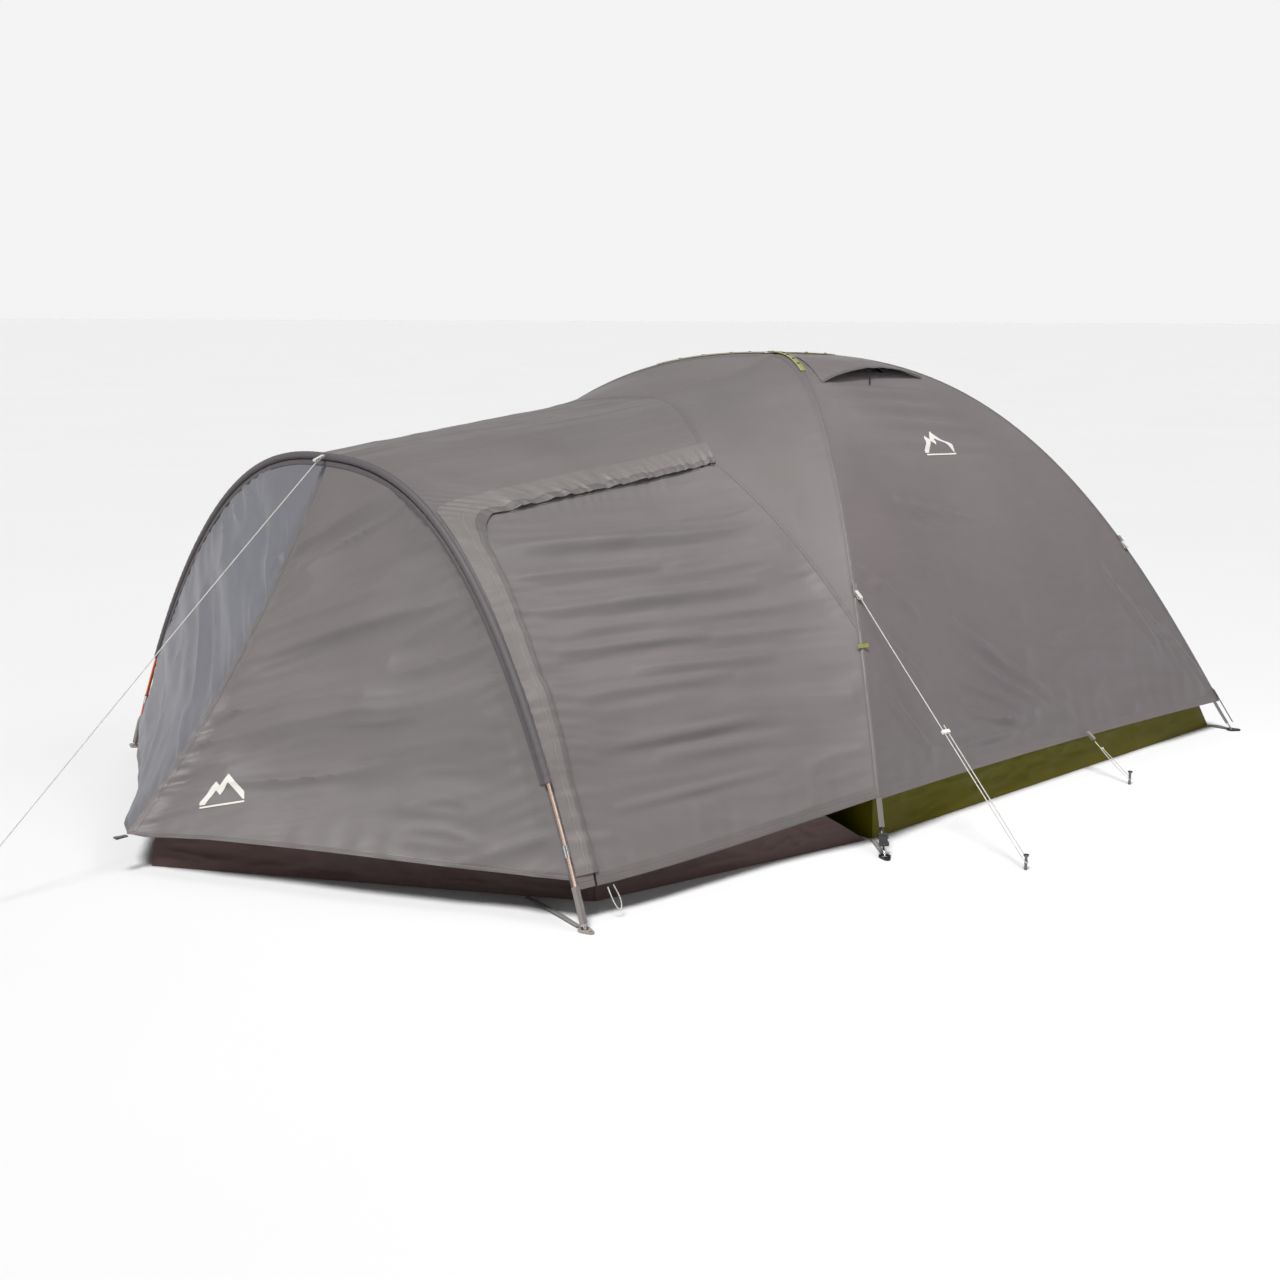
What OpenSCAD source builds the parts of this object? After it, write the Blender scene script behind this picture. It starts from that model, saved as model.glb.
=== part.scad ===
// Three-person dome tent with a hooped front porch: five bent half poles and a hoop pole carry a
// sewn fly, an inner tent hangs below it, and guy lines hold it to stakes in the ground.
// X runs along the tent from the porch nose (-X) to the back, Y across it, Z up from the ground.

/* [Dome] */
// Height of the pole crossing above the ground
head_h = 1150; // [1050:10:1250]
// Spacing of the dome's pole feet along the tent
dome_len = 1770; // [1600:10:1900]
// Spacing of the dome's pole feet across the tent
dome_wid = 2320; // [2200:10:2400]

/* [Porch] */
// Height of the porch hoop
hoop_h = 940; // [860:10:980]
// Width of the porch hoop at the ground
hoop_wid = 2030; // [1900:10:2100]
// How far the hoop's top leans back
hoop_lean = 55; // [40:1:70]
// Distance from the hoop's feet to the dome's front feet
porch_len = 848; // [800:1:900]
// Distance from the hoop's feet forward to the fly's nose
nose_len = 532; // [480:1:580]
// Height of the fly's nose above the ground
nose_h = 92; // [80:1:120]

/* [Poles] */
// Radius of the pole tube
pole_r = 4.5; // [4:0.1:5]
// Outer radius of the hoop's fabric sleeve
sleeve_r = 11; // [10:0.5:12]

/* [Fabric] */
// Thickness of a fabric panel's solid
cloth_t = 2; // [1.5:0.1:2.5]
// Height of the sleeping floor's tub wall
tub_h = 130; // [100:1:135]
// Height of the porch floor's tub wall
porch_tub_h = 100; // [80:1:110]
// Width of a webbing strap
strap_w = 16; // [10:1:20]

/* [Lines] */
// Diameter of the guy line
line_d = 2.8; // [2:0.1:3]
// Radius of a stake
stake_r = 3.5; // [3:0.1:4]

/* [Hidden] */

// A foot plate: thickness, eyelet and stake hole radius, and how far out the stake hole lies.
plate_t = 4;
eyelet_r = 9;
stake_hole_r = 4.5;
plate_reach = 17;
plate_nose_r = 8;
foot_angle = 55;

// Stations along X: the whole tent from nose tab to rear foot plates is centred on X = 0.
nose_tab_len = 35;
foot_reach = plate_reach * cos(foot_angle) + plate_nose_r;
x_end = (nose_tab_len + nose_len + porch_len + dome_len + foot_reach) / 2;
x_nose = -x_end + nose_tab_len;
x_hoop = x_nose + nose_len;
x_front = x_hoop + porch_len;
x_rear = x_front + dome_len;
x_apex = (x_front + x_rear) / 2;

// Exponents of the two arch profiles, z = h (1 - |t|^p)^q, with t from -1 (near foot) to 1.
hoop_p = 2.55;
dome_p = 2.57;
dome_q = 1.12;

// Offsets of cloth from the pole centrelines: outside the dome poles, inside the hoop sleeve,
// and the inner tent below the dome poles.
fly_out = 11;
sleeve_in = -14;
inner_in = -28;

// Share by which the porch fly pulls in between its arches, and the side panels between poles.
porch_sag = 0.257;
side_sag = 0.02;
rear_sag = 0.006;
nose_sag = 40;

// Where the cloth stops short of a seam, as a share of its run, and where panels start at the top.
seam = 0.005;
top_t = 0.035;

// The porch door, in the porch fly's own coordinates: u runs from hoop (0) to dome poles (1).
door_top_t = 0.437;
door_front_u = 0.07;
door_corner = 0.09;
door_rear_u = 0.7;
flap_w = 0.052;
zip_gap = 0.006;

// The door's hinge line, two points a little outside the fly, and how far ahead the door starts.
hinge_top = [-112, -497, 933];
hinge_foot = [-176, -1125, 132];
hinge_clear = 62;

// The vent hood on the near side panel: its ends along the panel (v), its top and lip down it (t),
// how far its lip stands up, and the stretch that the prop moves. Below it, the opening's box.
vent_v = [0.1, 0.9];
vent_t = [0.13, 0.33];
vent_rise = 38;
hood_moves = [0.28, 0.72];
vent_hole = [[-110, -345, 1040], [110, -235, 1170]];

// The inner door: half width, lower and upper edge.
inner_door_w = 352;
inner_door_z = [168, 792];
inner_gap = 8;

// Heights in the porch and dome hems: share of the arch at which the cloth ends.
function porch_hem(u) = 0.967 - 0.006 * u - 0.019 * pow(u, 3);
function side_hem(v) = 0.944 + 0.014 * v;
hem_rear = 0.957;

// Lines: route points chosen by hand.
front_route = [[-1010, 0, 930], [-1300, 0, 665], [-1600, 0, 383], [-1900, 0, 101], [-1984, 4, 22],
    [-1991, 7, 16], [-1998, 5, 14], [-2000, 0, 14], [-1998, -5, 14], [-1991, -7, 16],
    [-1984, -5, 22], [-1966, -4, 40]];
side_route = [[42, -882, 572], [29, -1000, 456], [13, -1150, 310], [-3, -1300, 163],
    [-18, -1440, 26], [-17, -1447, 18], [-12, -1451, 14], [-7, -1447, 18], [-4, -1440, 26],
    [11, -1300, 163], [26, -1165, 295]];
hem_route = [[815, -1127, 99], [808, -1190, 50], [802, -1244, 18], [803, -1250, 13],
    [808, -1253, 11], [813, -1250, 13], [814, -1243, 19], [817, -1190, 55], [818, -1150, 83]];
loop_route = [[-948, -992, 72], [-944, -1000, 50], [-936, -1006, 28], [-926, -1008, 16],
    [-918, -1006, 22], [-920, -1002, 44], [-927, -996, 62], [-933, -994, 74]];

line_r = line_d / 2;

fly_c = "#7f7975";
fly_pale_c = "#8c8b92";
sleeve_c = "#625e5f";
olive_c = "#5d5c19";
webbing_c = "#8c8c2d";
brown_c = "#342626";
mesh_c = "#4a4542";
black_c = "#222224";
metal_c = "#b9b9b9";
copper_c = "#c87446";
white_c = "#e6e4de";

function mix(a, b, k) = a * (1 - k) + b * k;
function unit(v) = v / norm(v);
function arch(t, h, p, q) = h * pow(max(0, 1 - pow(abs(t), p)), q);
function swing(s) = sin(90 * s);

// A point of the hoop and of a dome pole, offset outward by o; sx is -1 front or 1 rear.
function hoop_pt(t, o) = let (z = arch(t, hoop_h + o, hoop_p, 1))
    [x_hoop + hoop_lean * z / hoop_h, (hoop_wid / 2 + o) * t, z];
function dome_pt(t, sx, o) =
    [x_apex + sx * (dome_len / 2 + o) * abs(t), (dome_wid / 2 + o) * t,
        arch(t, head_h + o, dome_p, dome_q)];
function dome_t_at(z, o) = pow(1 - pow(z / (head_h + o), 1 / dome_q), 1 / dome_p);

// Fly surfaces. Each takes two shares of its own run and gives a point of the mid surface.
function porch_pt(u, t) = let (p = mix(hoop_pt(t, sleeve_in), dome_pt(t, -1, fly_out), u),
    s = 1 - porch_sag * u * u * (1 - u)) [p.x, p.y * s, p.z * s];
function side_pt(v, t, o) = let (p = mix(dome_pt(t, -1, o), dome_pt(t, 1, o), v))
    [p.x, p.y * (1 - side_sag * 4 * v * (1 - v)), p.z];
function end_pt(v, t, sx, o) = let (p = dome_pt(t, sx, o))
    [p.x - sx * rear_sag * dome_len * 2 * v * (1 - v) * t, p.y * (1 - 2 * v), p.z];
function nose_seam(w) = let (c = nose_sag * 4 * w * (1 - w))
    mix(hoop_pt(0, sleeve_in), [x_nose, 0, nose_h], w) + [c / 2, 0, -c];
function nose_pt(w, s, sy) = let (h = hoop_pt(sy * 0.957 * pow(w, 0.6), sleeve_in))
    mix(nose_seam(w * (1 - 0.012 * sin(180 * s))), h, s);

// The porch seam, where the porch roof meets the dome's front, and the door's front edge.
function seam_u(t) = 0.68 + 0.32 * pow(min(1, max(0, (abs(t) - 0.4) / 0.38)), 1.3);
function door_u(t) = let (k = max(0, min(1, (door_top_t + door_corner - t) / door_corner)))
    door_front_u + door_corner * (1 - sqrt(1 - k * k));

// A point ahead of the hinge line by gap, at the share k of the line from top to foot.
function hinge_x(z, gap) =
    mix(hinge_top.x, hinge_foot.x, (hinge_top.z - z) / (hinge_top.z - hinge_foot.z)) - gap;

// ---- Building blocks ----

// Outward normals of a grid of points, by differences between neighbours.
function grid_normals(g) = let (n = len(g) - 1, m = len(g[0]) - 1)
    [for (i = [0:n]) [for (j = [0:m])
        unit(cross(g[min(n, i + 1)][j] - g[max(0, i - 1)][j],
            g[i][min(m, j + 1)] - g[i][max(0, j - 1)]))]];
function flat(g) = [for (row = g) for (p = row) p];

// A thin curved sheet of thickness t around the mid surface f(a, b), on an na by nb grid.
module sheet(f, na, nb, t = cloth_t) {
    g = [for (i = [0:na]) [for (j = [0:nb]) f(i / na, j / nb)]];
    n = grid_normals(g);
    up = flat([for (i = [0:na]) [for (j = [0:nb]) g[i][j] + n[i][j] * t / 2]]);
    down = flat([for (i = [0:na]) [for (j = [0:nb]) g[i][j] - n[i][j] * t / 2]]);
    w = nb + 1;
    base = len(up);
    rim = concat([for (j = [0:nb - 1]) j], [for (i = [0:na - 1]) i * w + nb],
        [for (j = [nb:-1:1]) na * w + j], [for (i = [na:-1:1]) i * w]);
    polyhedron(concat(up, down), concat(
        [for (i = [0:na - 1]) for (j = [0:nb - 1]) let (k = i * w + j)
            each [[k, k + 1, k + w], [k + 1, k + w + 1, k + w]]],
        [for (i = [0:na - 1]) for (j = [0:nb - 1]) let (k = base + i * w + j)
            each [[k, k + w, k + 1], [k + 1, k + w, k + w + 1]]],
        [for (i = [0:len(rim) - 1]) let (a = rim[i], b = rim[(i + 1) % len(rim)])
            each [[a, b + base, b], [a, a + base, b + base]]]));
}

// Rings of a tube of radius r along points p; n is a direction that no part of the path follows.
function rings(p, r, n, sides) = let (last = len(p) - 1)
    [for (i = [0:last])
        let (d = unit(p[min(last, i + 1)] - p[max(0, i - 1)]), a = unit(cross(d, n)),
            b = cross(d, a))
        for (k = [0:sides - 1]) p[i] + r * (cos(360 * k / sides) * a + sin(360 * k / sides) * b)];
function skin(count, sides, first, flip) =
    [for (i = [0:count - 2]) for (k = [0:sides - 1])
        let (a = first + i * sides + k, b = first + i * sides + (k + 1) % sides,
            c = a + sides, d = b + sides)
        each flip ? [[a, c, b], [b, c, d]] : [[a, b, c], [b, d, c]]];

// A solid round rod along the points p.
module rod(p, r, n, sides = 8) {
    polyhedron(rings(p, r, n, sides), concat(skin(len(p), sides, 0, false),
        [[for (k = [sides - 1:-1:0]) k], [for (k = [0:sides - 1]) (len(p) - 1) * sides + k]]));
}

// A hollow sleeve along the points p, from inner radius ri to outer radius ro.
module sleeve(p, ro, ri, n, sides = 8) {
    outer = rings(p, ro, n, sides);
    base = len(outer);
    end = base - sides;
    polyhedron(concat(outer, rings(p, ri, n, sides)), concat(skin(len(p), sides, 0, false),
        skin(len(p), sides, base, true),
        [for (k = [0:sides - 1]) let (l = (k + 1) % sides)
            each [[k, base + l, l], [k, base + k, base + l],
                [end + k, end + l, base + end + l], [end + k, base + end + l, base + end + k]]]));
}

// Children stand at point p with their own Z along direction d and their X level.
module along(p, d) {
    v = unit(d);
    translate(p) rotate([0, acos(v.z), atan2(v.y, v.x)]) children();
}

// Children stand at point p with their own Z along z and their own X towards x.
module framed(p, z, x) {
    c = unit(z);
    b = unit(cross(c, x));
    a = cross(b, c);
    multmatrix([[a.x, b.x, c.x, p.x], [a.y, b.y, c.y, p.y], [a.z, b.z, c.z, p.z]]) children();
}

// A flat strap from a to b, lying on its width, with both ends square.
module strap(a, b, w, t) {
    d = b - a;
    translate(a) rotate([0, 0, atan2(d.y, d.x)]) rotate([0, -asin(d.z / norm(d)), 0])
        translate([0, -w / 2, 0]) cube([norm(d), w, t]);
}

module ring(ro, ri, h) {
    difference() {
        cylinder(r = ro, h = h, center = true, $fn = 32);
        cylinder(r = ri, h = h + 1, center = true, $fn = 32);
    }
}

// ---- Frame ----

hub_t = 0.016;
pole_end_t = 0.988;
pole_steps = 34;
function dome_line(sx, sy, t0, t1, o) =
    [for (i = [0:pole_steps]) dome_pt(sy * mix(t0, 1, swing(i / pole_steps)) * t1, sx, o)];
function dome_side(sx, sy) = [sy * dome_wid, -sx * dome_len, 0];
function hoop_line(t1, steps) = [for (i = [-steps:steps]) hoop_pt(t1 * swing(i / steps), 0)];
hoop_side = [hoop_h, 0, -hoop_lean];

module dome_pole(sx, sy) {
    rod(dome_line(sx, sy, hub_t, pole_end_t, 0), pole_r, dome_side(sx, sy));
}
module pole_front_near() { color(metal_c) dome_pole(-1, -1); }
module pole_front_far() { color(metal_c) dome_pole(-1, 1); }
module pole_rear_near() { color(metal_c) dome_pole(1, -1); }
module pole_rear_far() { color(metal_c) dome_pole(1, 1); }
module hoop_pole() { color(copper_c) rod(hoop_line(pole_end_t, 24), pole_r, hoop_side); }

// The moulded hub at the crossing: a disc with a short socket round the start of each half pole.
hub_r = 21;
socket_len = 24;
module apex_hub() {
    color(black_c) {
        translate([x_apex, 0, head_h]) cylinder(r = hub_r, h = 11, center = true, $fn = 48);
        for (sx = [-1, 1], sy = [-1, 1]) {
            d = unit([sx * dome_len, sy * dome_wid, 0]);
            along([x_apex, 0, head_h] + d * (hub_r - 3), d) translate([0, 0, socket_len / 2])
                ring(6.3, pole_r + 0.4, socket_len);
        }
    }
}

// Ferrules: short bright tubes over the joints between pole sections.
ferrule_r = pole_r + 1.3;
ferrule_bore = pole_r + 0.6;
module ferrule(f, t) {
    along(f(t), f(t + 0.01) - f(t - 0.01)) ring(ferrule_r, ferrule_bore, 26);
}
module dome_ferrules() {
    color(metal_c) for (sx = [-1, 1], sy = [-1, 1], t = [0.31, 0.57, 0.8])
        ferrule(function (k) dome_pt(k, sx, 0), sy * t);
}
module hoop_ferrules() {
    color(metal_c) for (sy = [-1, 1]) ferrule(function (k) hoop_pt(k, 0), sy * 0.93);
}

// Pole ends: a straight pin from the pole down to the ground in each foot's eyelet.
pin_r = 3.2;
module pole_tip(f, sy) {
    a = f(sy * 0.9885);
    d = unit(f(sy * 0.9999) - a);
    b = a + d * ((a.z - pin_r) / -d.z);
    along(a, b - a) union() {
        cylinder(r = pin_r, h = norm(b - a), $fn = 32);
        translate([0, 0, norm(b - a)]) sphere(r = pin_r, $fn = 32);
    }
}
module pole_tips() {
    color(metal_c) {
        for (sx = [-1, 1], sy = [-1, 1]) pole_tip(function (t) dome_pt(t, sx, 0), sy);
        for (sy = [-1, 1]) pole_tip(function (t) hoop_pt(t, 0), sy);
    }
}

// A foot plate: an eyelet round the pole tip and a stake hole beyond it, pointing away from
// the floor along angle a.
module foot_plate(x, y, a) {
    translate([x, y, 0]) rotate([0, 0, a]) difference() {
        hull() {
            translate([-3, 0, 0]) cylinder(r = 15, h = plate_t, $fn = 32);
            translate([plate_reach, 0, 0]) cylinder(r = plate_nose_r, h = plate_t, $fn = 32);
        }
        translate([-3, 0, -1]) cylinder(r = eyelet_r, h = plate_t + 2, $fn = 48);
        translate([plate_reach, 0, -1]) cylinder(r = stake_hole_r, h = plate_t + 2, $fn = 48);
    }
}
module foot_front_near() {
    color(black_c) foot_plate(x_front, -dome_wid / 2, -180 + foot_angle);
}
module foot_front_far() {
    color(black_c) foot_plate(x_front, dome_wid / 2, 180 - foot_angle);
}
module foot_rear_near() { color(black_c) foot_plate(x_rear, -dome_wid / 2, -foot_angle); }
module foot_rear_far() { color(black_c) foot_plate(x_rear, dome_wid / 2, foot_angle); }
module foot_hoop_near() { color(sleeve_c) foot_plate(x_hoop, -hoop_wid / 2, -90); }
module foot_hoop_far() { color(sleeve_c) foot_plate(x_hoop, hoop_wid / 2, 90); }

// ---- Floors ----

// Corner points of the two floors, counter-clockwise from above, and of the tops of their walls.
sleep_x = [x_front + 86, x_rear - 10];
sleep_y = [dome_wid / 2 - 108, dome_wid / 2 - 77];
tub_lean = 18;
rear_lean = 84;
function box_outline(x, y) = [[x[0], -y[0]], [x[1], -y[1]], [x[1], y[1]], [x[0], y[0]]];
sleep_low = box_outline(sleep_x, sleep_y);
sleep_high = box_outline(sleep_x + [tub_lean, -rear_lean], sleep_y - [tub_lean, tub_lean]);

porch_corner = [x_hoop + 134, hoop_wid / 2 - 116];
porch_back = [x_front + 68, dome_wid / 2 - 115];
porch_tip = x_nose + 56;
back_taper = 150;
porch_low = [[porch_tip, 0], [porch_corner.x, -porch_corner.y], [porch_back.x, -porch_back.y],
    [porch_back.x, porch_back.y], [porch_corner.x, porch_corner.y]];
porch_high = [for (i = [0:4]) i == 2 || i == 3
    ? porch_low[i] + [-back_taper, (i == 2 ? 1 : -1) * tub_lean]
    : inset(porch_low, i, tub_lean)];

// Corner i of a floor outline moved inward by d, so that walls meet in a mitre.
function inward(a, b) = unit([a.y - b.y, b.x - a.x]);
function inset(o, i, d) = let (n = len(o), c = o[i % n], m = inward(o[(i + n - 1) % n], c),
    k = inward(c, o[(i + 1) % n])) c + (m + k) * d / (1 + m * k);

// A floor with walls on the given edges, which lean in to the outline high at height h.
floor_t = 1.5;
module tub(low, high, edges, h) {
    linear_extrude(floor_t) polygon(low);
    n = len(low);
    for (i = edges) sheet(function (p, q) let (k = mix(0.001, 0.999, p), j = (i + 1) % n,
        a = mix(inset(low, i, 1), inset(low, j, 1), k), b = mix(high[i], high[j], k),
        g = mix(a, b, q)) [g.x, g.y, mix(floor_t / 2, h, q)], 1, 1);
}
module sleeping_floor() { color(olive_c) tub(sleep_low, sleep_high, [0:3], tub_h); }
module porch_floor() { color(brown_c) tub(porch_low, porch_high, [0, 1, 3, 4], porch_tub_h); }

// Straps from the floors out to the foot plates.
strap_t = 1.6;
strap_rise = 1;
hoop_strap_at = 0.155;
module floor_strap(c, f, gap) {
    a = [c.x, c.y, strap_rise];
    b = [f.x, f.y, strap_rise];
    strap(mix(a, b, gap / norm(b - a)), mix(b, a, 20 / norm(b - a)), 12, strap_t);
}
module floor_straps() {
    color(sleeve_c) {
        for (i = [0:3]) floor_strap(sleep_low[i],
            [sleep_low[i].x < x_apex ? x_front : x_rear, sign(sleep_low[i].y) * dome_wid / 2], 3);
        for (i = [1, 4]) floor_strap(mix(porch_low[i], porch_low[0], hoop_strap_at),
            [x_hoop, sign(porch_low[i].y) * (hoop_wid / 2 - 8)], 14);
    }
}

// The straps that pull the fly's corners down to the feet, beside each dome pole.
fly_strap_t = [0.958, 0.9865];
buckle_strap_end_t = 0.968;
corner_out = 14;
function corner_pt(sx, sy, t) = dome_pt(sy * t, sx, corner_out);
module fly_straps() {
    color(fly_c) for (sx = [-1, 1], sy = [-1, 1]) {
        a = corner_pt(sx, sy, fly_strap_t[0]);
        b = corner_pt(sx, sy, sx < 0 && sy < 0 ? buckle_strap_end_t : fly_strap_t[1]);
        rod([for (k = [0:4]) mix(a, b, k / 4)], 2.5, [0, 0, 1], 8);
    }
}

// The side-release buckle on the near front corner: the socket is sewn to the foot strap and the
// clip to the fly strap. Its own frame stands along the pole.
buckle_foot = corner_pt(-1, -1, 0.9855);
buckle_dir = unit(corner_pt(-1, -1, 0.97) - buckle_foot);
buckle_w = 24;
buckle_len = 24;
module buckle_frame() { framed(buckle_foot, buckle_dir, [-dome_len, -dome_wid, 0]) children(); }
module buckle_socket() {
    color(black_c) buckle_frame() difference() {
        translate([-4, -buckle_w / 2, 0]) cube([8, buckle_w, buckle_len]);
        translate([-2.4, -buckle_w / 2 + 2.5, 6]) cube([4.8, buckle_w - 5, buckle_len]);
        translate([-5, -buckle_w / 2 - 1, 10]) cube([10, 3.6, 8]);
        translate([-5, buckle_w / 2 - 2.6, 10]) cube([10, 3.6, 8]);
    }
}
module buckle_clip() {
    color(black_c) buckle_frame() {
        translate([-1.8, -3, 8]) cube([3.6, 6, buckle_len - 6.5]);
        for (s = [-1, 1]) translate([-1.8, s * 7 - 1.5, 9]) cube([3.6, 3, buckle_len - 7.5]);
        translate([-4, -buckle_w / 2, buckle_len + 1.2]) cube([8, buckle_w, 6]);
    }
}

// Plastic clips that hang the inner tent from the dome poles.
clip_r = pole_r + 1.7;
module pole_clips() {
    color(black_c) for (sx = [-1, 1], sy = [-1, 1], t = [0.2, 0.44, 0.68, 0.88]) {
        p = dome_pt(sy * t, sx, 0);
        d = dome_pt(sy * (t + 0.01), sx, 0) - dome_pt(sy * (t - 0.01), sx, 0);
        along(p, d) ring(clip_r, ferrule_bore, 12);
        in = dome_pt(sy * t, sx, inner_in + 2) - p;
        along(p + unit(in) * (clip_r - 0.4), in) translate([-1, -4, 0])
            cube([2, 8, norm(in) - clip_r - 1.5]);
    }
}

// ---- Fly ----

function side_cloth(sy) = function (a, b) let (v = mix(seam, 1 - seam, a))
    side_pt(v, sy * mix(top_t, side_hem(v), swing(b)), fly_out);
fly_steps = 20;
module fly_side_near() {
    color(fly_c) difference() {
        sheet(function (a, b) side_cloth(-1)(1 - a, b), 12, fly_steps);
        translate([x_apex, 0, 0] + vent_hole[0]) cube(vent_hole[1] - vent_hole[0]);
    }
}
module fly_side_far() { color(fly_c) sheet(side_cloth(1), 12, fly_steps); }
module fly_rear() {
    color(fly_c) sheet(function (a, b)
        end_pt(mix(seam, 1 - seam, a), mix(top_t, hem_rear, swing(b)), 1, fly_out), 12, fly_steps);
}

// The front of the dome above the porch, from the porch seam back to the front poles.
fly_front_t = 0.755;
module fly_front() {
    color(fly_c) sheet(function (a, b) let (t = mix(-fly_front_t, fly_front_t, a),
        u0 = seam_u(t) + 0.005, u1 = 1 - max(0.006, 0.03 * (1 - abs(t) * 6)))
        porch_pt(mix(u0, max(u1, u0 + 0.004), b), t), 28, 6);
}

// The porch roof: both sides of the ridge down to the door's top edge, ahead of the porch seam.
module porch_roof() {
    color(fly_c) sheet(function (a, b) let (t = mix(-door_top_t, door_top_t, a))
        porch_pt(mix(0.002, seam_u(t) - 0.004, b), t), 20, 8);
}

// The porch wall ahead of the door, from the sleeve to the zip, and behind it, to the pole.
strip_top_t = door_top_t + 0.006;
module porch_wall_near() {
    color(fly_c) {
        sheet(function (a, b) let (t = -mix(strip_top_t, porch_hem(0), swing(b)))
            porch_pt(mix(0.002, door_u(-t) - zip_gap, 1 - a), t), 2, 18);
        sheet(function (a, b) let (t = mix(strip_top_t, porch_hem(1), swing(b)),
            back = min(0.994, seam_u(t) - 0.004))
            porch_pt(mix(hinge_u(t, 4), back, 1 - a), -t), 3, 16);
    }
}
module porch_wall_far() {
    color(fly_pale_c) sheet(function (a, b)
        let (u = mix(0.002, 1, a), t = mix(strip_top_t, porch_hem(u), swing(b)))
        porch_pt(u * min(0.994, seam_u(t) - 0.004), t), 10, 14);
}

// The share u at which the near porch surface lies gap ahead of the hinge line, by two
// corrections of a first guess.
function hinge_step(u, t, gap) = let (p = porch_pt(u, -t), q = porch_pt(u + 0.01, -t))
    u + 0.01 * (hinge_x(p.z, gap) - p.x) / (q.x - p.x);
function hinge_u(t, gap) = hinge_step(hinge_step(0.8, t, gap), t, gap);

// The zip-in porch door, from the zip back to just ahead of the hinge line.
module porch_door() {
    color(fly_c) sheet(function (a, b) let (u1 = hinge_u(mix(door_top_t, 0.96, b), hinge_clear),
        t = mix(door_top_t + zip_gap, porch_hem(mix(door_front_u, u1, 1 - a)), swing(b)),
        u = mix(door_u(t) + zip_gap, hinge_u(t, hinge_clear), 1 - a))
        porch_pt(u, -t), 12, 16);
}

// Nose panels, which close the porch from the hoop down to a point.
module nose_near() {
    color(fly_c) sheet(function (a, b)
        nose_pt(mix(0.04, 1, b), mix(0.012, 0.996, a), -1), 10, 12);
}
module nose_far() {
    color(fly_pale_c) sheet(function (a, b)
        nose_pt(mix(0.04, 1, b), mix(0.012, 0.996, 1 - a), 1), 10, 12);
}

sleeve_end = 0.87;
module hoop_sleeve() {
    color(sleeve_c) sleeve(hoop_line(sleeve_end, 20), sleeve_r, sleeve_r - 3, hoop_side, 10);
}

// The storm flap over the zip: a ribbon up the front of the door and back along its top.
flap_up = 6;
flap_steps = 24;
flap_share = 0.52;
function flap_t(s) = s < flap_share
    ? mix(0.955, door_top_t + 0.01, swing(s / flap_share)) : door_top_t - 0.002;
function lifted(u, t, o) = let (p = porch_pt(u, t), n = unit(cross(
        porch_pt(u + 0.01, t) - p, porch_pt(u, t + 0.01) - p))) p + n * o;
function flap_edge(s) = s < flap_share ? [door_u(flap_t(s)) - 0.002, flap_t(s)]
    : [mix(0.12, door_rear_u - 0.006, (s - flap_share) / (1 - flap_share)), door_top_t - 0.002];
function flap_root(s) = s < flap_share
    ? [mix(0.018, 0.03, s), mix(0.955, door_top_t - flap_w * 0.7, swing(s / flap_share))]
    : [mix(0.07, door_rear_u - 0.006, (s - flap_share) / (1 - flap_share)), door_top_t - flap_w];
module storm_flap() {
    color(fly_c) sheet(function (a, b) let (e = flap_edge(b), r = flap_root(b), q = mix(e, r, a))
        lifted(q[0], -q[1], mix(flap_up, 3, a)), 2, flap_steps, 1.4);
}

// Zip tapes along the top of the door, one on each side of the zip, and the slider.
tape_u = [0.17, 0.66];
tape_w = 0.011;
module door_zip_tape() {
    color(black_c) sheet(function (a, b)
        lifted(mix(tape_u[0], tape_u[1] - 0.03, b), -mix(door_top_t + 0.009,
            door_top_t + 0.009 + tape_w, a), 2.2), 1, 8, 1);
}
module fly_zip_tape() {
    color(black_c) sheet(function (a, b)
        lifted(mix(tape_u[0], tape_u[1], b), -mix(door_top_t - 0.006 - tape_w,
            door_top_t - 0.004, a), 2.2), 1, 8, 1);
}
zip_home = lifted(0.68, -door_top_t - 0.0045, 6.5);
zip_end = lifted(0.2, -door_top_t - 0.0045, 6.5);
module zip_slider() {
    along(zip_home, zip_end - zip_home) rotate([0, 0, 35]) color(metal_c) {
        translate([-1.8, -2.6, -6]) cube([3.6, 5.2, 12]);
    }
    color(white_c) translate(zip_home + [0, -12, -7.5]) rotate([50, 0, 0]) ring(7, 5, 2);
}

// ---- Vent ----

function hood_pt(a, b) = let (v = mix(vent_v[0], vent_v[1], a), t = mix(vent_t[0], vent_t[1], b))
    side_pt(v, -t, fly_out) + [0, 0, 4 + vent_rise * pow(sin(180 * a), 0.8) * pow(b, 1.3)];
module vent_hood() {
    color(fly_c) sheet(function (a, b) hood_pt(mix(hood_moves[0], hood_moves[1], 1 - a), b),
        10, 6, 1.6);
}

// The stiff prop that holds the hood's lip open, in its middle.
prop_top = hood_pt(0.5, 0.94) - [0, 0, 5];
prop_foot = side_pt(0.44, -0.345, fly_out + 5);
module vent_prop() {
    color(black_c) rod([prop_top, mix(prop_top, prop_foot, 0.5), prop_foot], 2, [1, 0, 0], 8);
}
mesh_half = 118;
module vent_mesh() {
    color(mesh_c) sheet(function (a, b) let (p = side_pt(0.5, -mix(0.195, 0.305, b), 0))
        [x_apex + mix(mesh_half, -mesh_half, a), p.y, p.z], 2, 2, 1);
}

// ---- Trim ----

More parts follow.
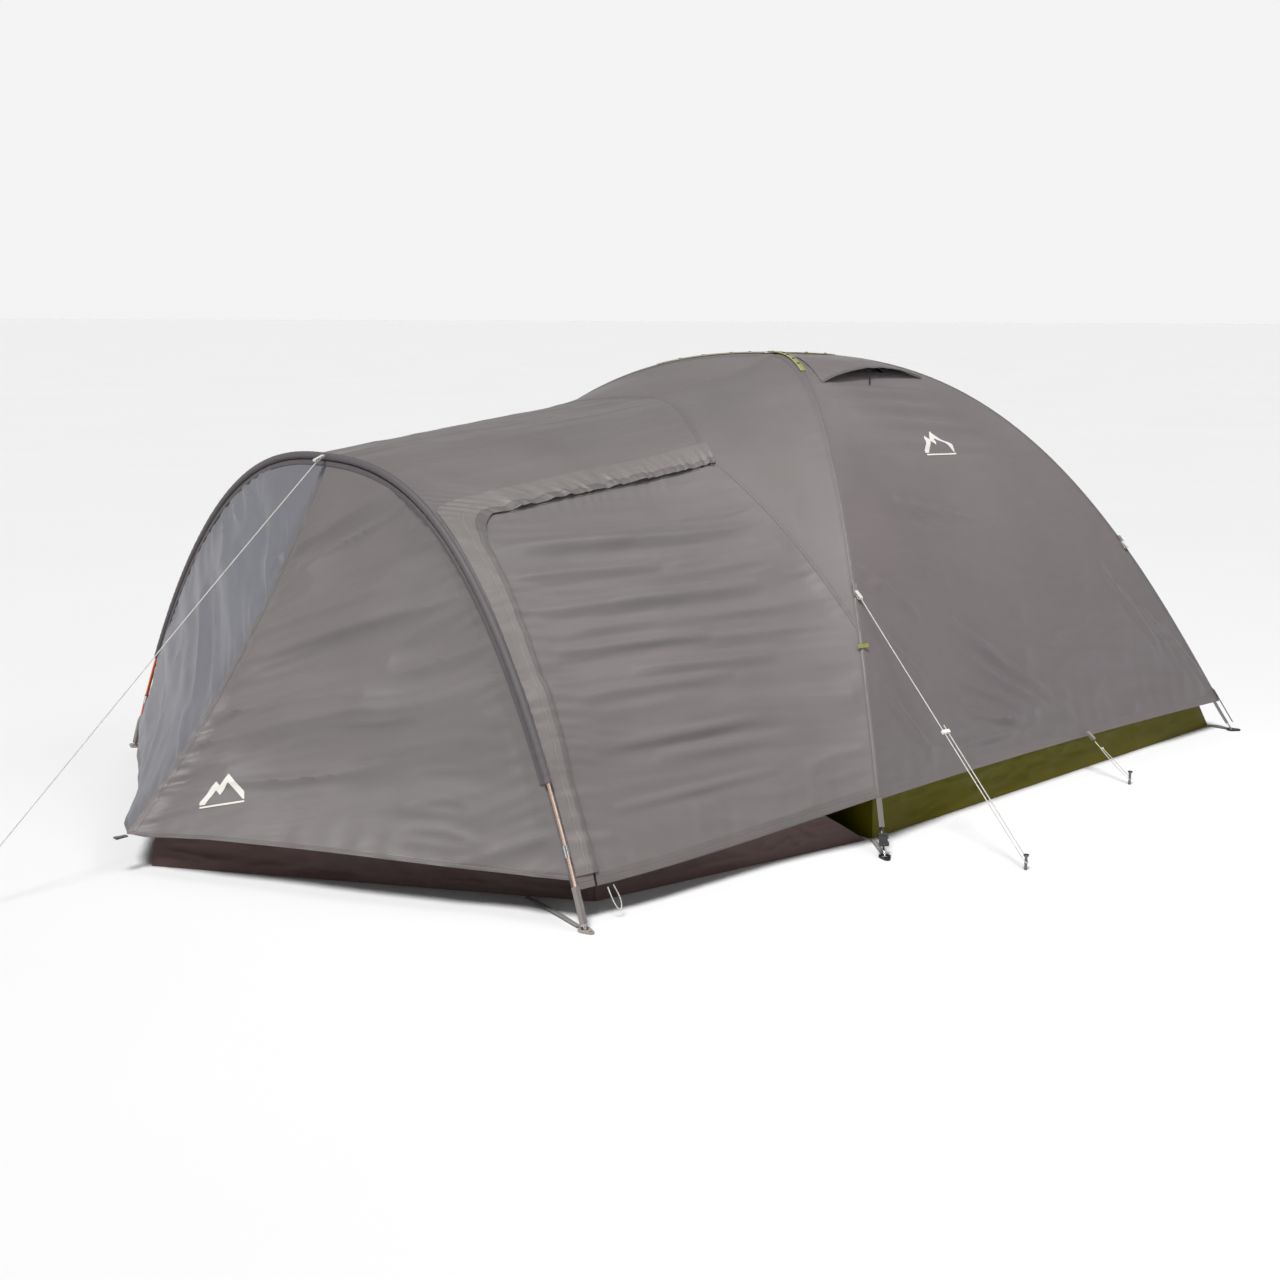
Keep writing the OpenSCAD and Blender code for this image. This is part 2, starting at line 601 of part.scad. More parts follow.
// Webbing strips over the poles at the crossing, longer over the two front poles.
webbing_end_t = [0.26, 0.12];
module apex_webbing() {
    color(webbing_c) for (sx = [-1, 1], sy = [-1, 1]) {
        side = unit(dome_side(sx, sy));
        sheet(function (a, b) dome_pt(sy * mix(0.03, webbing_end_t[sx < 0 ? 0 : 1], b), sx,
            fly_out + 4) + side * strap_w * mix(-0.5, 0.5, sx * sy > 0 ? 1 - a : a), 1, 8, 1.2);
    }
}

// Small webbing tags on the front poles.
module pole_tags() {
    color(webbing_c) for (sy = [-1, 1]) {
        p = dome_pt(sy * 0.797, -1, fly_out + 6);
        translate(p) rotate([0, 0, sy * 8]) cube([26, 2, 9], center = true);
    }
}

// Guy-out tabs on the poles and at the top of the hoop.
tab_t = 0.733;
module guy_tab(p, out) {
    along(p, out) translate([-1, -7, 3]) difference() {
        cube([2, 14, 28]);
        translate([-1, 7, 20]) rotate([0, 90, 0]) cylinder(r = 3.4, h = 4, $fn = 32);
    }
}
module guy_tabs() {
    color(white_c) {
        for (sx = [-1, 1], sy = [-1, 1])
            guy_tab(dome_pt(sy * tab_t, sx, fly_out + 2), [0, sy, -1]);
        guy_tab(hoop_pt(0, 0) + [-sleeve_r - 1, 0, 4], [-1, 0, -0.5]);
    }
}
module hem_tab() {
    color(fly_c) guy_tab([817, -1099, 122], [0, -0.75, -0.6]);
}
module nose_tab() {
    color(black_c) strap([x_nose - 2, 0, nose_h - 4], [-x_end, 0, nose_h - 14], strap_w, strap_t);
}

// ---- Inner tent ----

inner_foot_t = dome_t_at(tub_h + 8, inner_in);
function inner_t(b) = mix(top_t, inner_foot_t, swing(b));
inner_seam = 0.006;
module inner_side(sy) {
    color(mesh_c) sheet(function (a, b) side_pt(mix(inner_seam, 1 - inner_seam,
        sy > 0 ? a : 1 - a), sy * inner_t(b), inner_in), 8, 12);
}
module inner_side_near() { inner_side(-1); }
module inner_side_far() { inner_side(1); }
module inner_rear() {
    color(mesh_c) sheet(function (a, b) end_pt(mix(inner_seam, 1 - inner_seam, a),
        inner_t(b), 1, inner_in), 8, 12);
}
function inner_front_pt(a, b) = let (p = dome_pt(inner_t(b), -1, inner_in))
    [p.x, p.y * (1 - 2 * mix(inner_seam, 1 - inner_seam, a)), p.z];

// A prism along X through the front wall, with round corners, grown by g.
module door_prism(g) {
    r = 120 + g;
    y = inner_door_w + g - r;
    z = [inner_door_z[0] - g + r, inner_door_z[1] + g - r];
    hull() for (s = [-1, 1], k = [0, 1]) translate([-250, s * y, z[k]]) rotate([0, 90, 0])
        cylinder(r = r, h = 700, $fn = 32);
}
module inner_front() {
    color(mesh_c) difference() {
        sheet(function (a, b) inner_front_pt(1 - a, b), 8, 14);
        door_prism(inner_gap);
    }
}
module inner_door() {
    color(mesh_c) intersection() {
        sheet(function (a, b) inner_front_pt(1 - a, b), 8, 14);
        door_prism(0);
    }
}
module inner_door_zip() {
    color(black_c) intersection() {
        sheet(function (a, b) inner_front_pt(1 - a, b) + [-3.5, 0, 0], 8, 14, 1);
        difference() {
            door_prism(inner_gap + 14);
            translate([-10, 0, 0]) scale([1.1, 1, 1]) door_prism(inner_gap + 2);
        }
    }
}

// ---- Lines ----

module front_guyline() { color(white_c) rod(front_route, line_r, [0.2, 0.1, 1], 8); }
module side_guyline() { color(white_c) rod(side_route, line_r, [1, 0.1, -0.05], 8); }
module hem_line() { color(white_c) rod(hem_route, line_r * 0.8, [1, 0.1, -0.05], 8); }
module hoop_loop() { color(white_c) rod(loop_route, line_r, [0.3, 1, 0], 8); }

// A line tensioner: a flat bar with a hole for each strand.
side_dir = unit(side_route[4] - side_route[0]);
strand_gap = 14;
tensioner_at = 0.53;
module line_tensioner() {
    c = mix(side_route[0], side_route[4], tensioner_at) + [strand_gap / 2, 0, 0];
    color(white_c) framed(c, side_dir, [1, 0, 0]) difference() {
        cube([26, 7, 9], center = true);
        for (s = [-1, 1]) translate([s * strand_gap / 2, 0, -10])
            cylinder(r = 2.3, h = 20, $fn = 32);
    }
}
module front_line_knot() {
    color(white_c) translate([-1963, -4, 43]) sphere(r = 3.2, $fn = 24);
}

// The part of a stake that stands above the ground: a peg with a cap that keeps the line on.
module stake(x, y) {
    color(metal_c) translate([x, y, 0]) {
        cylinder(r = stake_r, h = 34, $fn = 32);
        translate([0, 0, 34]) cylinder(r = stake_r + 3, h = 4, $fn = 32);
    }
}
module front_stake() { stake(-1992, 0); }
module side_stake() { stake(-11, -1443); }
module hem_stake() { stake(808, -1246); }

pole_front_near();
pole_front_far();
pole_rear_near();
pole_rear_far();
hoop_pole();
apex_hub();
dome_ferrules();
hoop_ferrules();
pole_tips();
foot_front_near();
foot_front_far();
foot_rear_near();
foot_rear_far();
foot_hoop_near();
foot_hoop_far();
floor_straps();
fly_straps();
buckle_socket();
buckle_clip();
pole_clips();
fly_side_near();
fly_side_far();
fly_rear();
fly_front();
porch_roof();
porch_wall_near();
porch_wall_far();
porch_door();
nose_near();
nose_far();
hoop_sleeve();
storm_flap();
door_zip_tape();
fly_zip_tape();
zip_slider();
vent_hood();
vent_prop();
vent_mesh();
apex_webbing();
pole_tags();
guy_tabs();
hem_tab();
nose_tab();
inner_side_near();
inner_side_far();
inner_rear();
inner_front();
inner_door();
inner_door_zip();
sleeping_floor();
porch_floor();
front_guyline();
side_guyline();
hem_line();
hoop_loop();
line_tensioner();
front_stake();
side_stake();
hem_stake();
front_line_knot();
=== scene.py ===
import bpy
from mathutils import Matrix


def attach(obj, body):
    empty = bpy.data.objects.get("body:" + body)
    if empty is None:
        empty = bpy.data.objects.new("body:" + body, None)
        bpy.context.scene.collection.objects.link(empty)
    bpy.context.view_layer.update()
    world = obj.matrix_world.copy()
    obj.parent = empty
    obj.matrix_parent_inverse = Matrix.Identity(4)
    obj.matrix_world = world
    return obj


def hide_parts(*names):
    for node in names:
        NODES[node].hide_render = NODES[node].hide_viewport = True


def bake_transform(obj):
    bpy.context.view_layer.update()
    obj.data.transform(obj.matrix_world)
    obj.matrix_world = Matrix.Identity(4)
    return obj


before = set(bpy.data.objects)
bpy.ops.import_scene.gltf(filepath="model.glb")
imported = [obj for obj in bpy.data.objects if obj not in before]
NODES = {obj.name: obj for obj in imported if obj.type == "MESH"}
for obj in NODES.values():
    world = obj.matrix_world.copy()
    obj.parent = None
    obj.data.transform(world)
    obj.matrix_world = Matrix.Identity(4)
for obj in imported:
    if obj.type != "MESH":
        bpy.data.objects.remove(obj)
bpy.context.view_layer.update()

import math

import bpy
import numpy as np
from mathutils import Quaternion, Vector

# -------- the tent's own dimensions

HEAD_H, DOME_LEN, DOME_WID = 1.150, 1.770, 2.320
HOOP_H, HOOP_WID, HOOP_LEAN = 0.940, 2.030, 0.055
PORCH_LEN, NOSE_LEN, NOSE_H, NOSE_TAB = 0.848, 0.532, 0.092, 0.035
HOOP_P, DOME_P, DOME_Q = 2.55, 2.57, 1.12
FLY_OUT, SLEEVE_IN, INNER_IN = 0.011, -0.014, -0.028
PORCH_SAG, SIDE_SAG, REAR_SAG, NOSE_SAG = 0.257, 0.02, 0.006, 0.040
DOOR_TOP, DOOR_FRONT, DOOR_CORNER, DOOR_REAR, FLAP_W = 0.437, 0.07, 0.09, 0.7, 0.052
TUB_H, PORCH_TUB_H = 0.130, 0.100
FOOT_REACH = 0.017 * math.cos(math.radians(55)) + 0.008
X_END = (NOSE_TAB + NOSE_LEN + PORCH_LEN + DOME_LEN + FOOT_REACH) / 2
X_NOSE = -X_END + NOSE_TAB
X_HOOP = X_NOSE + NOSE_LEN
X_FRONT = X_HOOP + PORCH_LEN
X_REAR = X_FRONT + DOME_LEN
X_APEX = (X_FRONT + X_REAR) / 2
HINGE_TOP = np.array([-0.112, -0.497, 0.933])
HINGE_FOOT = np.array([-0.176, -1.125, 0.132])
INSIDE = np.array([0.2, 0.0, 0.25])
UP = np.array([0.0, 0.0, 1.0])
# Shares down the arches: the nose's outer ends, the rear hem, and where the porch seam stops.
NOSE_END, HEM_REAR, SEAM_END = 0.957, 0.957, 0.775
# Mean run of the porch along X, and rough metres for one whole share of an arch.
PORCH_RUN, PORCH_DROP, DOME_DROP = 0.86, 1.1, 1.2
DOOR_GAP = 0.0035
TAPE_LIFT, SEAM_THICK, HEM_THICK, NET_THICK = 0.0008, 0.0007, 0.0006, 0.0005
CORNERS = [(sx, sy, ("front" if sx < 0 else "rear") + ("_near" if sy < 0 else "_far"))
           for sx in (-1, 1) for sy in (-1, 1)]


def xyz(x, y, z):
    """Points from coordinates of shapes that broadcast together."""
    return np.stack(np.broadcast_arrays(np.asarray(x, float), y, z), -1)


def mix(a, b, k):
    return a + (b - a) * k


def between(p, q, k):
    return p + (q - p) * np.asarray(k, float)[..., None]


def unit(v):
    v = np.asarray(v, float)
    return v / np.maximum(np.linalg.norm(v, axis=-1, keepdims=True), 1e-12)


def ramp(x, lo, hi):
    """0 below lo, 1 above hi, smooth in between; lo may be above hi."""
    k = np.clip((x - lo) / (hi - lo), 0, 1)
    return k * k * (3 - 2 * k)


def swing(s):
    """0 to 1 along a quarter sine, so that steps get closer towards the end."""
    return np.sin(np.pi / 2 * np.asarray(s, float))


def arch(t, h, p, q):
    """Height of an arch h high at share t of its half width."""
    return h * np.maximum(0, 1 - np.abs(t) ** p) ** q


def hoop_pt(t, o):
    z = arch(t, HOOP_H + o, HOOP_P, 1)
    return xyz(X_HOOP + HOOP_LEAN * z / HOOP_H, (HOOP_WID / 2 + o) * t, z)


def dome_pt(t, sx, o):
    return xyz(X_APEX + sx * (DOME_LEN / 2 + o) * np.abs(t), (DOME_WID / 2 + o) * t,
               arch(t, HEAD_H + o, DOME_P, DOME_Q))


def dome_t_at(z, o):
    return (1 - (z / (HEAD_H + o)) ** (1 / DOME_Q)) ** (1 / DOME_P)


def porch_pt(u, t):
    p = between(hoop_pt(t, SLEEVE_IN), dome_pt(t, -1, FLY_OUT), u)
    s = 1 - PORCH_SAG * u * u * (1 - u)
    return xyz(p[..., 0], p[..., 1] * s, p[..., 2] * s)


def side_pt(v, t, o):
    p = between(dome_pt(t, -1, o), dome_pt(t, 1, o), v)
    return xyz(p[..., 0], p[..., 1] * (1 - SIDE_SAG * 4 * v * (1 - v)), p[..., 2])


def end_pt(v, t, sx, o):
    p = dome_pt(t, sx, o)
    return xyz(p[..., 0] - sx * REAR_SAG * DOME_LEN * 2 * v * (1 - v) * t,
               p[..., 1] * (1 - 2 * v), p[..., 2])


def nose_seam(w):
    c = NOSE_SAG * 4 * w * (1 - w)
    p = between(hoop_pt(0 * w, SLEEVE_IN), np.array([X_NOSE, 0, NOSE_H]), w)
    return p + xyz(c / 2, 0, -c)


def nose_pt(w, s, sy):
    w = np.maximum(w, 0)
    h = hoop_pt(sy * NOSE_END * w ** 0.6, SLEEVE_IN)
    return between(nose_seam(w * (1 - 0.012 * np.sin(np.pi * s))), h, s)


def seam_u(t):
    """Where the porch ends and the dome's front begins, t down the arch."""
    return 0.68 + 0.32 * np.clip((np.abs(t) - 0.4) / 0.38, 0, 1) ** 1.3


def door_u(t):
    """The porch door's front edge, with its rounded top corner."""
    k = np.clip((DOOR_TOP + DOOR_CORNER - t) / DOOR_CORNER, 0, 1)
    return DOOR_FRONT + DOOR_CORNER * (1 - np.sqrt(1 - k * k))


def porch_hem(u):
    return 0.967 - 0.006 * u - 0.019 * u ** 3


def side_hem(v):
    return 0.944 + 0.014 * v


def down_dome(j):
    """Grid rows down a dome panel, a little closer together near the hem."""
    return swing(j) * 0.5 + j * 0.5

# -------- noise and folds


def hashed(i, j, seed):
    """A fixed value from -1 to 1 for each whole cell (i, j)."""
    n = (i.astype(np.int64) * 374761393 + j.astype(np.int64) * 668265263
         + seed * 362437) & 0x7FFFFFFF
    n = ((n ^ (n >> 13)) * 1274126177) & 0x7FFFFFFF
    return ((n ^ (n >> 16)) & 0xFFFF) / 32767.5 - 1


def noise(x, y, seed=0):
    """Smooth noise from -1 to 1 with unit cells."""
    i, j = np.floor(x), np.floor(y)
    fx, fy = x - i, y - j
    fx, fy = (f ** 3 * (f * (f * 6 - 15) + 10) for f in (fx, fy))
    low = mix(hashed(i, j, seed), hashed(i + 1, j, seed), fx)
    high = mix(hashed(i, j + 1, seed), hashed(i + 1, j + 1, seed), fx)
    return mix(low, high, fy)


def folds(x, y, length, gap, seed, crisp=0.5):
    """Folds that run along x, about length long and gap apart, from -1 to 1."""
    bent = 0.9 * noise(x / length, y / (4 * gap), seed + 5)
    n = noise(x / length + 0.37, y / gap + bent, seed)
    m = noise(x / length * 1.7 + 9.1, y / gap * 1.6 + bent, seed + 11)
    return (1 - crisp) * n + crisp * (1 - 2.4 * np.abs(m))


def pucker(along, off, pitch, reach, seed):
    """Short gathers beside a seam: along it in metres, off it in metres, pitch apart."""
    k = np.clip(off, 0, None) / reach
    wave = np.sin(2 * np.pi * along / pitch + 4.5 * noise(along / (2.6 * pitch), 0 * along, seed))
    fade = 0.55 + 0.45 * noise(along / (2.2 * pitch) + 4, 0 * along + 0.5, seed + 3)
    return wave * fade * k * np.exp(1 - k)


def crease(p, path, width, height):
    """A ridge with a shallow trough on each side along the 3-D polyline path."""
    path = np.asarray(path, float)
    best = np.full(p.shape[:-1], 1e9)
    share = np.zeros(p.shape[:-1])
    steps = np.linalg.norm(np.diff(path, axis=0), axis=1)
    total, gone = steps.sum(), 0.0
    for a, b, step in zip(path, path[1:], steps):
        k = np.clip(((p - a) * (b - a)).sum(-1) / step ** 2, 0, 1)
        d = np.linalg.norm(p - between(a, b, k), axis=-1)
        near = d < best
        best = np.where(near, d, best)
        share = np.where(near, (gone + k * step) / total, share)
        gone += step
    x = best / width
    return height * (1 - x * x) * np.exp(-x * x / 2) * np.sin(np.pi * np.clip(share, 0, 1)) ** 0.6


T_TABLE = np.linspace(0, 1, 400)
ARC_TABLE = np.concatenate([[0], np.cumsum(np.linalg.norm(
    np.diff(dome_pt(T_TABLE, -1, FLY_OUT)[:, 1:], axis=0), axis=1))])


def arc(t):
    """Length down the arch from its top to t, in metres, with the sign of t."""
    return np.sign(t) * np.interp(np.abs(t), T_TABLE, ARC_TABLE)


class Cloth:
    """A surface of the fly: a smooth base, and relief that stands off it along its normal."""

    def __init__(self, base, relief=None, sample=(0.5, 0.5)):
        self.base, self.relief, self.sign = base, relief, 1.0
        a, b = (np.array([k], float) for k in sample)
        p, n = self.frame(a, b)
        self.sign = float(np.sign(((p - INSIDE) * n).sum()))

    def frame(self, a, b):
        h = 1e-4
        n = np.cross(self.base(a + h, b) - self.base(a - h, b),
                     self.base(a, b + h) - self.base(a, b - h))
        return self.base(a, b), unit(n) * self.sign

    def at(self, a, b, lift=0.0):
        a, b = np.broadcast_arrays(np.asarray(a, float), np.asarray(b, float))
        p, n = self.frame(a, b)
        off = lift + (self.relief(a, b, p) if self.relief else 0)
        return p + n * np.broadcast_to(off, a.shape)[..., None]


# How far each kind of fold and gather stands off the cloth, in metres.
PORCH_FOLD, PORCH_FINE, ROOF_FOLD, ROOF_FINE = 0.0112, 0.0030, 0.0030, 0.0024
FRONT_FOLD, FRONT_FINE, SIDE_FOLD, SIDE_FINE = 0.0011, 0.0006, 0.0070, 0.0032
REAR_FOLD, REAR_FINE, NOSE_FOLD, NOSE_FINE = 0.0026, 0.0009, 0.0200, 0.0042
HOOP_RIPPLE, ZIP_GATHER, SEAM_GATHER = 0.0026, 0.0026, 0.0009
HEM_GATHER, POLE_GATHER = 0.0010, 0.0014


def porch_relief(u, t, p):
    """Folds of the porch fly: soft long folds on the walls, tight ripples behind the hoop."""
    s, r, down = u * PORCH_RUN, arc(t), np.abs(t)
    near, wall = ramp(r, 0.02, -0.05), ramp(down, DOOR_TOP, DOOR_TOP + 0.08)
    edge = ramp(u, 0, 0.05) * ramp(u, seam_u(t), seam_u(t) - 0.05)
    low = 1 - 0.35 * ramp(down, porch_hem(u), porch_hem(u) - 0.03)
    sweep = r + 0.10 * s + 0.05 * s * s
    wide = folds(s, sweep, 0.50, 0.095, 21, 0.25)
    fine = folds(s, sweep, 0.26, 0.042, 33, 0.35)
    relief = wall * (PORCH_FOLD * wide + PORCH_FINE * fine) * edge * (0.6 + 0.4 * low)
    relief += (1 - wall) * edge * (
        ROOF_FOLD * folds(r, s, 0.30, 0.12, 41, 0.5) + ROOF_FINE * folds(s, r, 0.4, 0.09, 43, 0.6))
    slant = 0.72 * s - 0.69 * np.abs(r)
    ripple = pucker(slant, 0.02 + 0 * s, 0.019, 0.02, 45) * ramp(s, 0.17, 0.06)
    ripple *= ramp(s, 0.004, 0.03)
    relief += HOOP_RIPPLE * ripple * ramp(down, 0.27, 0.35) * ramp(down, 0.47, 0.41)
    off_zip = (u - door_u(down)) * PORCH_RUN
    relief += ZIP_GATHER * wall * pucker(r + 0.4 * off_zip, off_zip, 0.043, 0.034, 51)
    relief += HEM_GATHER * pucker(r, s, 0.036, 0.015, 55) * wall
    relief += SEAM_GATHER * pucker(r, (seam_u(t) - u) * PORCH_RUN, 0.034, 0.016, 57)
    relief += HEM_GATHER * pucker(s, (porch_hem(u) - down) * PORCH_DROP, 0.06, 0.02, 58) * wall
    below_zip = (down - DOOR_TOP) * DOME_DROP
    relief += HEM_GATHER * near * pucker(s, below_zip, 0.027, 0.020, 59) * ramp(u, 0.62, 0.5)
    for line, width, height in DOOR_LINES:
        relief += crease(p, line, width, height) * edge
    return relief


def front_relief(u, t, p):
    """The dome's front above the porch."""
    s, r = u * PORCH_RUN, arc(t)
    off_seam, off_pole = (u - seam_u(t)) * PORCH_RUN, (1 - u) * PORCH_RUN
    calm = ramp(off_seam, 0, 0.05) * ramp(off_pole, 0, 0.05)
    relief = calm * (FRONT_FOLD * folds(r, s, 0.35, 0.10, 61, 0.5)
                     + FRONT_FINE * folds(s, r, 0.3, 0.05, 63))
    relief += SEAM_GATHER * pucker(r, off_seam, 0.034, 0.016, 57)
    return relief + 0.0011 * pucker(r, off_pole, 0.045, 0.018, 65) * ramp(np.abs(r), 0.05, 0.15)


def creases_on(surface, rows):
    """Creases between pairs of places on a surface, as 3-D lines with width and height."""
    made = []
    for a0, b0, a1, b1, width, height in rows:
        k = np.linspace(0, 1, 7)
        made.append((surface(mix(a0, a1, k), mix(b0, b1, k)), width, height))
    return made


def fan(start, start_step, end, end_step, count, width, height):
    """count creases from start to end; each begins and ends one step further on."""
    return [(start[0] + start_step[0] * k, start[1] + start_step[1] * k,
             end[0] + end_step[0] * k, end[1] + end_step[1] * k,
             width * (1 - 0.08 * k), height * (1 - 0.09 * k)) for k in range(count)]


# On the near side: up and forward from the hem's stake-out, across the middle, below the vent,
# along the rear pole and beside the front pole's tab.
SIDE_CREASES = (
    fan((0.25, 0.78), (-0.01, 0.035), (0.52, 0.90), (-0.03, 0.006), 5, 0.017, 0.0100)
    + fan((0.22, 0.615), (0.06, 0.01), (0.34, 0.665), (0.08, 0.005), 3, 0.014, 0.0090)
    + fan((0.08, 0.34), (0.02, 0.055), (0.78, 0.40), (0.02, 0.05), 4, 0.022, 0.0080)
    + fan((0.86, 0.76), (0.03, 0.03), (0.91, 0.88), (0.03, 0.02), 4, 0.015, 0.0090)
    + fan((0.02, 0.70), (0.01, 0.07), (0.19, 0.78), (-0.02, 0.07), 3, 0.016, 0.0090))
DOOR_CREASES = (
    fan((0.08, -0.53), (0.015, -0.062), (0.42, -0.57), (0.05, -0.055), 7, 0.020, 0.0120)
    + fan((0.30, -0.56), (0.01, -0.10), (0.74, -0.60), (0.01, -0.09), 4, 0.020, 0.0100))


def side_relief_for(creases):
    def relief(v, t, p):
        down = np.abs(t)
        wide = DOME_LEN * down
        s, r = v * DOME_LEN * down, arc(down)
        left, right = v * wide, (1 - v) * wide
        calm = ramp(left, 0, 0.09) * ramp(right, 0, 0.09)
        soft = SIDE_FOLD * folds(s + 0.25 * r, r - 0.18 * s, 0.6, 0.16, 71, 0.25)
        fine = SIDE_FINE * folds(s, r - 0.25 * s, 0.28, 0.055, 73, 0.7) * ramp(down, 0.3, 0.9)
        out = calm * (soft + fine)
        out += POLE_GATHER * pucker(r, left, 0.055, 0.025, 75) * ramp(down, 0.1, 0.25)
        out += POLE_GATHER * pucker(r, right, 0.060, 0.025, 77) * ramp(down, 0.1, 0.25)
        out += HEM_GATHER * pucker(s, (side_hem(v) - down) * PORCH_DROP, 0.075, 0.022, 79)
        for line, width, height in creases:
            out += crease(p, line, width, height) * ramp(left, 0, 0.03) * ramp(right, 0, 0.03)
        return out
    return relief


def rear_relief(v, t, p):
    down = np.abs(t)
    wide = DOME_WID * down
    s, r = v * wide, arc(down)
    calm = ramp(s, 0, 0.09) * ramp(wide - s, 0, 0.09)
    out = calm * (REAR_FOLD * folds(s, r, 0.6, 0.15, 81, 0.3)
                  + REAR_FINE * folds(s, r, 0.28, 0.06, 83, 0.7))
    out += POLE_GATHER * pucker(r, s, 0.055, 0.025, 85) * ramp(down, 0.1, 0.25)
    out += POLE_GATHER * pucker(r, wide - s, 0.055, 0.025, 87) * ramp(down, 0.1, 0.25)
    return out + HEM_GATHER * pucker(s, (HEM_REAR - down) * PORCH_DROP, 0.08, 0.022, 89)


def nose_relief_for(seed):
    def relief(w, s, p):
        run = 0.55 + 0.45 * w
        a, b = s * run, w * 1.05
        calm = ramp(a, 0, 0.05) * ramp(run - a, 0, 0.05)
        out = calm * (NOSE_FOLD * folds(a, b + 0.16 * a, 0.60, 0.110, seed, 0.30)
                      + NOSE_FINE * folds(a, b + 0.16 * a, 0.30, 0.050, seed + 2, 0.35))
        out *= ramp(w, 0.08, 0.25)
        low = ramp(w, 0.05, 0.2)
        out += 0.0036 * pucker(b + 0.5 * a, a, 0.046, 0.034, seed + 4) * low
        out += 0.0034 * pucker(b + 0.4 * a, run - a, 0.040, 0.032, seed + 6) * low
        return out + 0.0012 * pucker(a, (1 - w) * 1.05, 0.07, 0.020, seed + 8)
    return relief


def near_pt(v, t):
    return side_pt(v, -t, FLY_OUT)


DOOR_LINES = creases_on(porch_pt, DOOR_CREASES)
PORCH = Cloth(porch_pt, porch_relief, (0.3, -0.5))
FRONT = Cloth(porch_pt, front_relief, (0.9, -0.3))
SIDE_NEAR = Cloth(near_pt, side_relief_for(creases_on(near_pt, SIDE_CREASES)), (0.5, 0.6))
SIDE_FAR = Cloth(lambda v, t: side_pt(1 - v, t, FLY_OUT), side_relief_for([]), (0.5, 0.6))
REAR = Cloth(lambda v, t: end_pt(v, t, 1, FLY_OUT), rear_relief, (0.5, 0.6))
NOSE_NEAR = Cloth(lambda w, s: nose_pt(w, s, -1), nose_relief_for(91), (0.5, 0.5))
NOSE_FAR = Cloth(lambda w, s: nose_pt(w, s, 1), nose_relief_for(191), (0.5, 0.5))

# -------- materials


def srgb(*rgb):
    return tuple((c / 255 / 12.92 if c < 10.3 else ((c / 255 + 0.055) / 1.055) ** 2.4)
                 for c in rgb) + (1.0,)


DUST, SOIL, WORN, SCRATCH = (srgb(*rgb) for rgb in (
    (128, 116, 100), (176, 168, 152), (205, 200, 190), (150, 148, 144)))


class Graph:
    """A material's node tree, with short calls for the nodes that the finishes share."""

    def __init__(self, name, **sockets):
        self.mat = bpy.data.materials.new(name)
        self.mat.use_nodes = True
        self.tree = self.mat.node_tree
        self.shader = next(n for n in self.tree.nodes if n.type == "BSDF_PRINCIPLED")
        for key, value in sockets.items():
            self.shader.inputs[key.replace("_", " ")].default_value = value
        self.object = self.node("TexCoord").outputs["Object"]
        self.uv = self.node("UVMap").outputs["UV"]

    def node(self, kind, **settings):
        n = self.tree.nodes.new("ShaderNode" + kind)
        for key, value in settings.items():
            setattr(n, key, value)
        return n

    def put(self, socket, value):
        if isinstance(value, bpy.types.NodeSocket):
            self.tree.links.new(value, socket)
        else:
            socket.default_value = value

    def math(self, op, *values):
        n = self.node("Math", operation=op)
        for socket, value in zip(n.inputs, values):
            self.put(socket, value)
        return n.outputs[0]

    def times(self, a, b):
        return self.math("MULTIPLY", a, b)

    def wave(self, value, pitch):
        return self.math("SINE", self.times(value, math.tau / pitch))

    def scaled(self, vector, by):
        n = self.node("VectorMath", operation="MULTIPLY")
        self.put(n.inputs[0], vector)
        n.inputs[1].default_value = by
        return n.outputs[0]

    def noise(self, vector, scale, detail=2.0, rough=0.5, distortion=0.0):
        n = self.node("TexNoise")
        self.put(n.inputs["Vector"], vector)
        for key, value in (("Scale", scale), ("Detail", detail), ("Roughness", rough),
                           ("Distortion", distortion)):
            n.inputs[key].default_value = value
        return n.outputs[0]

    def spread(self, value, lo, hi, out_lo=0.0, out_hi=1.0):
        n = self.node("MapRange")
        for socket, v in zip(n.inputs, (value, lo, hi, out_lo, out_hi)):
            self.put(socket, v)
        return n.outputs[0]

    def mix(self, share, a, b):
        n = self.node("Mix", data_type="RGBA")
        self.put(n.inputs[0], share)
        self.put(n.inputs[6], a)
        self.put(n.inputs[7], b)
        return n.outputs[2]

    def split(self, vector):
        n = self.node("SeparateXYZ")
        self.put(n.inputs[0], vector)
        return n.outputs

    def line(self, value, at, half):
        """1 within half of at, 0 outside, with a soft edge."""
        off = self.math("ABSOLUTE", self.math("SUBTRACT", value, at))
        return self.spread(off, half * 0.6, half, 1.0, 0.0)

    def every(self, value, pitch):
        """Share of the way through the repeat that value is in, from 0 to 1."""
        return self.math("FRACT", self.math("DIVIDE", value, pitch))

    def bump(self, height, distance, strength=1.0, under=None):
        n = self.node("Bump")
        n.inputs["Strength"].default_value = strength
        n.inputs["Distance"].default_value = distance
        self.put(n.inputs["Height"], height)
        if under is not None:
            self.put(n.inputs["Normal"], under)
        return n.outputs[0]

    def finish(self, colour=None, rough=None, normal=None):
        for key, value in (("Base Color", colour), ("Roughness", rough), ("Normal", normal)):
            if value is not None:
                self.put(self.shader.inputs[key], value)
        return self.mat


def darker(colour, k):
    return tuple(c * k for c in colour[:3]) + (1.0,)


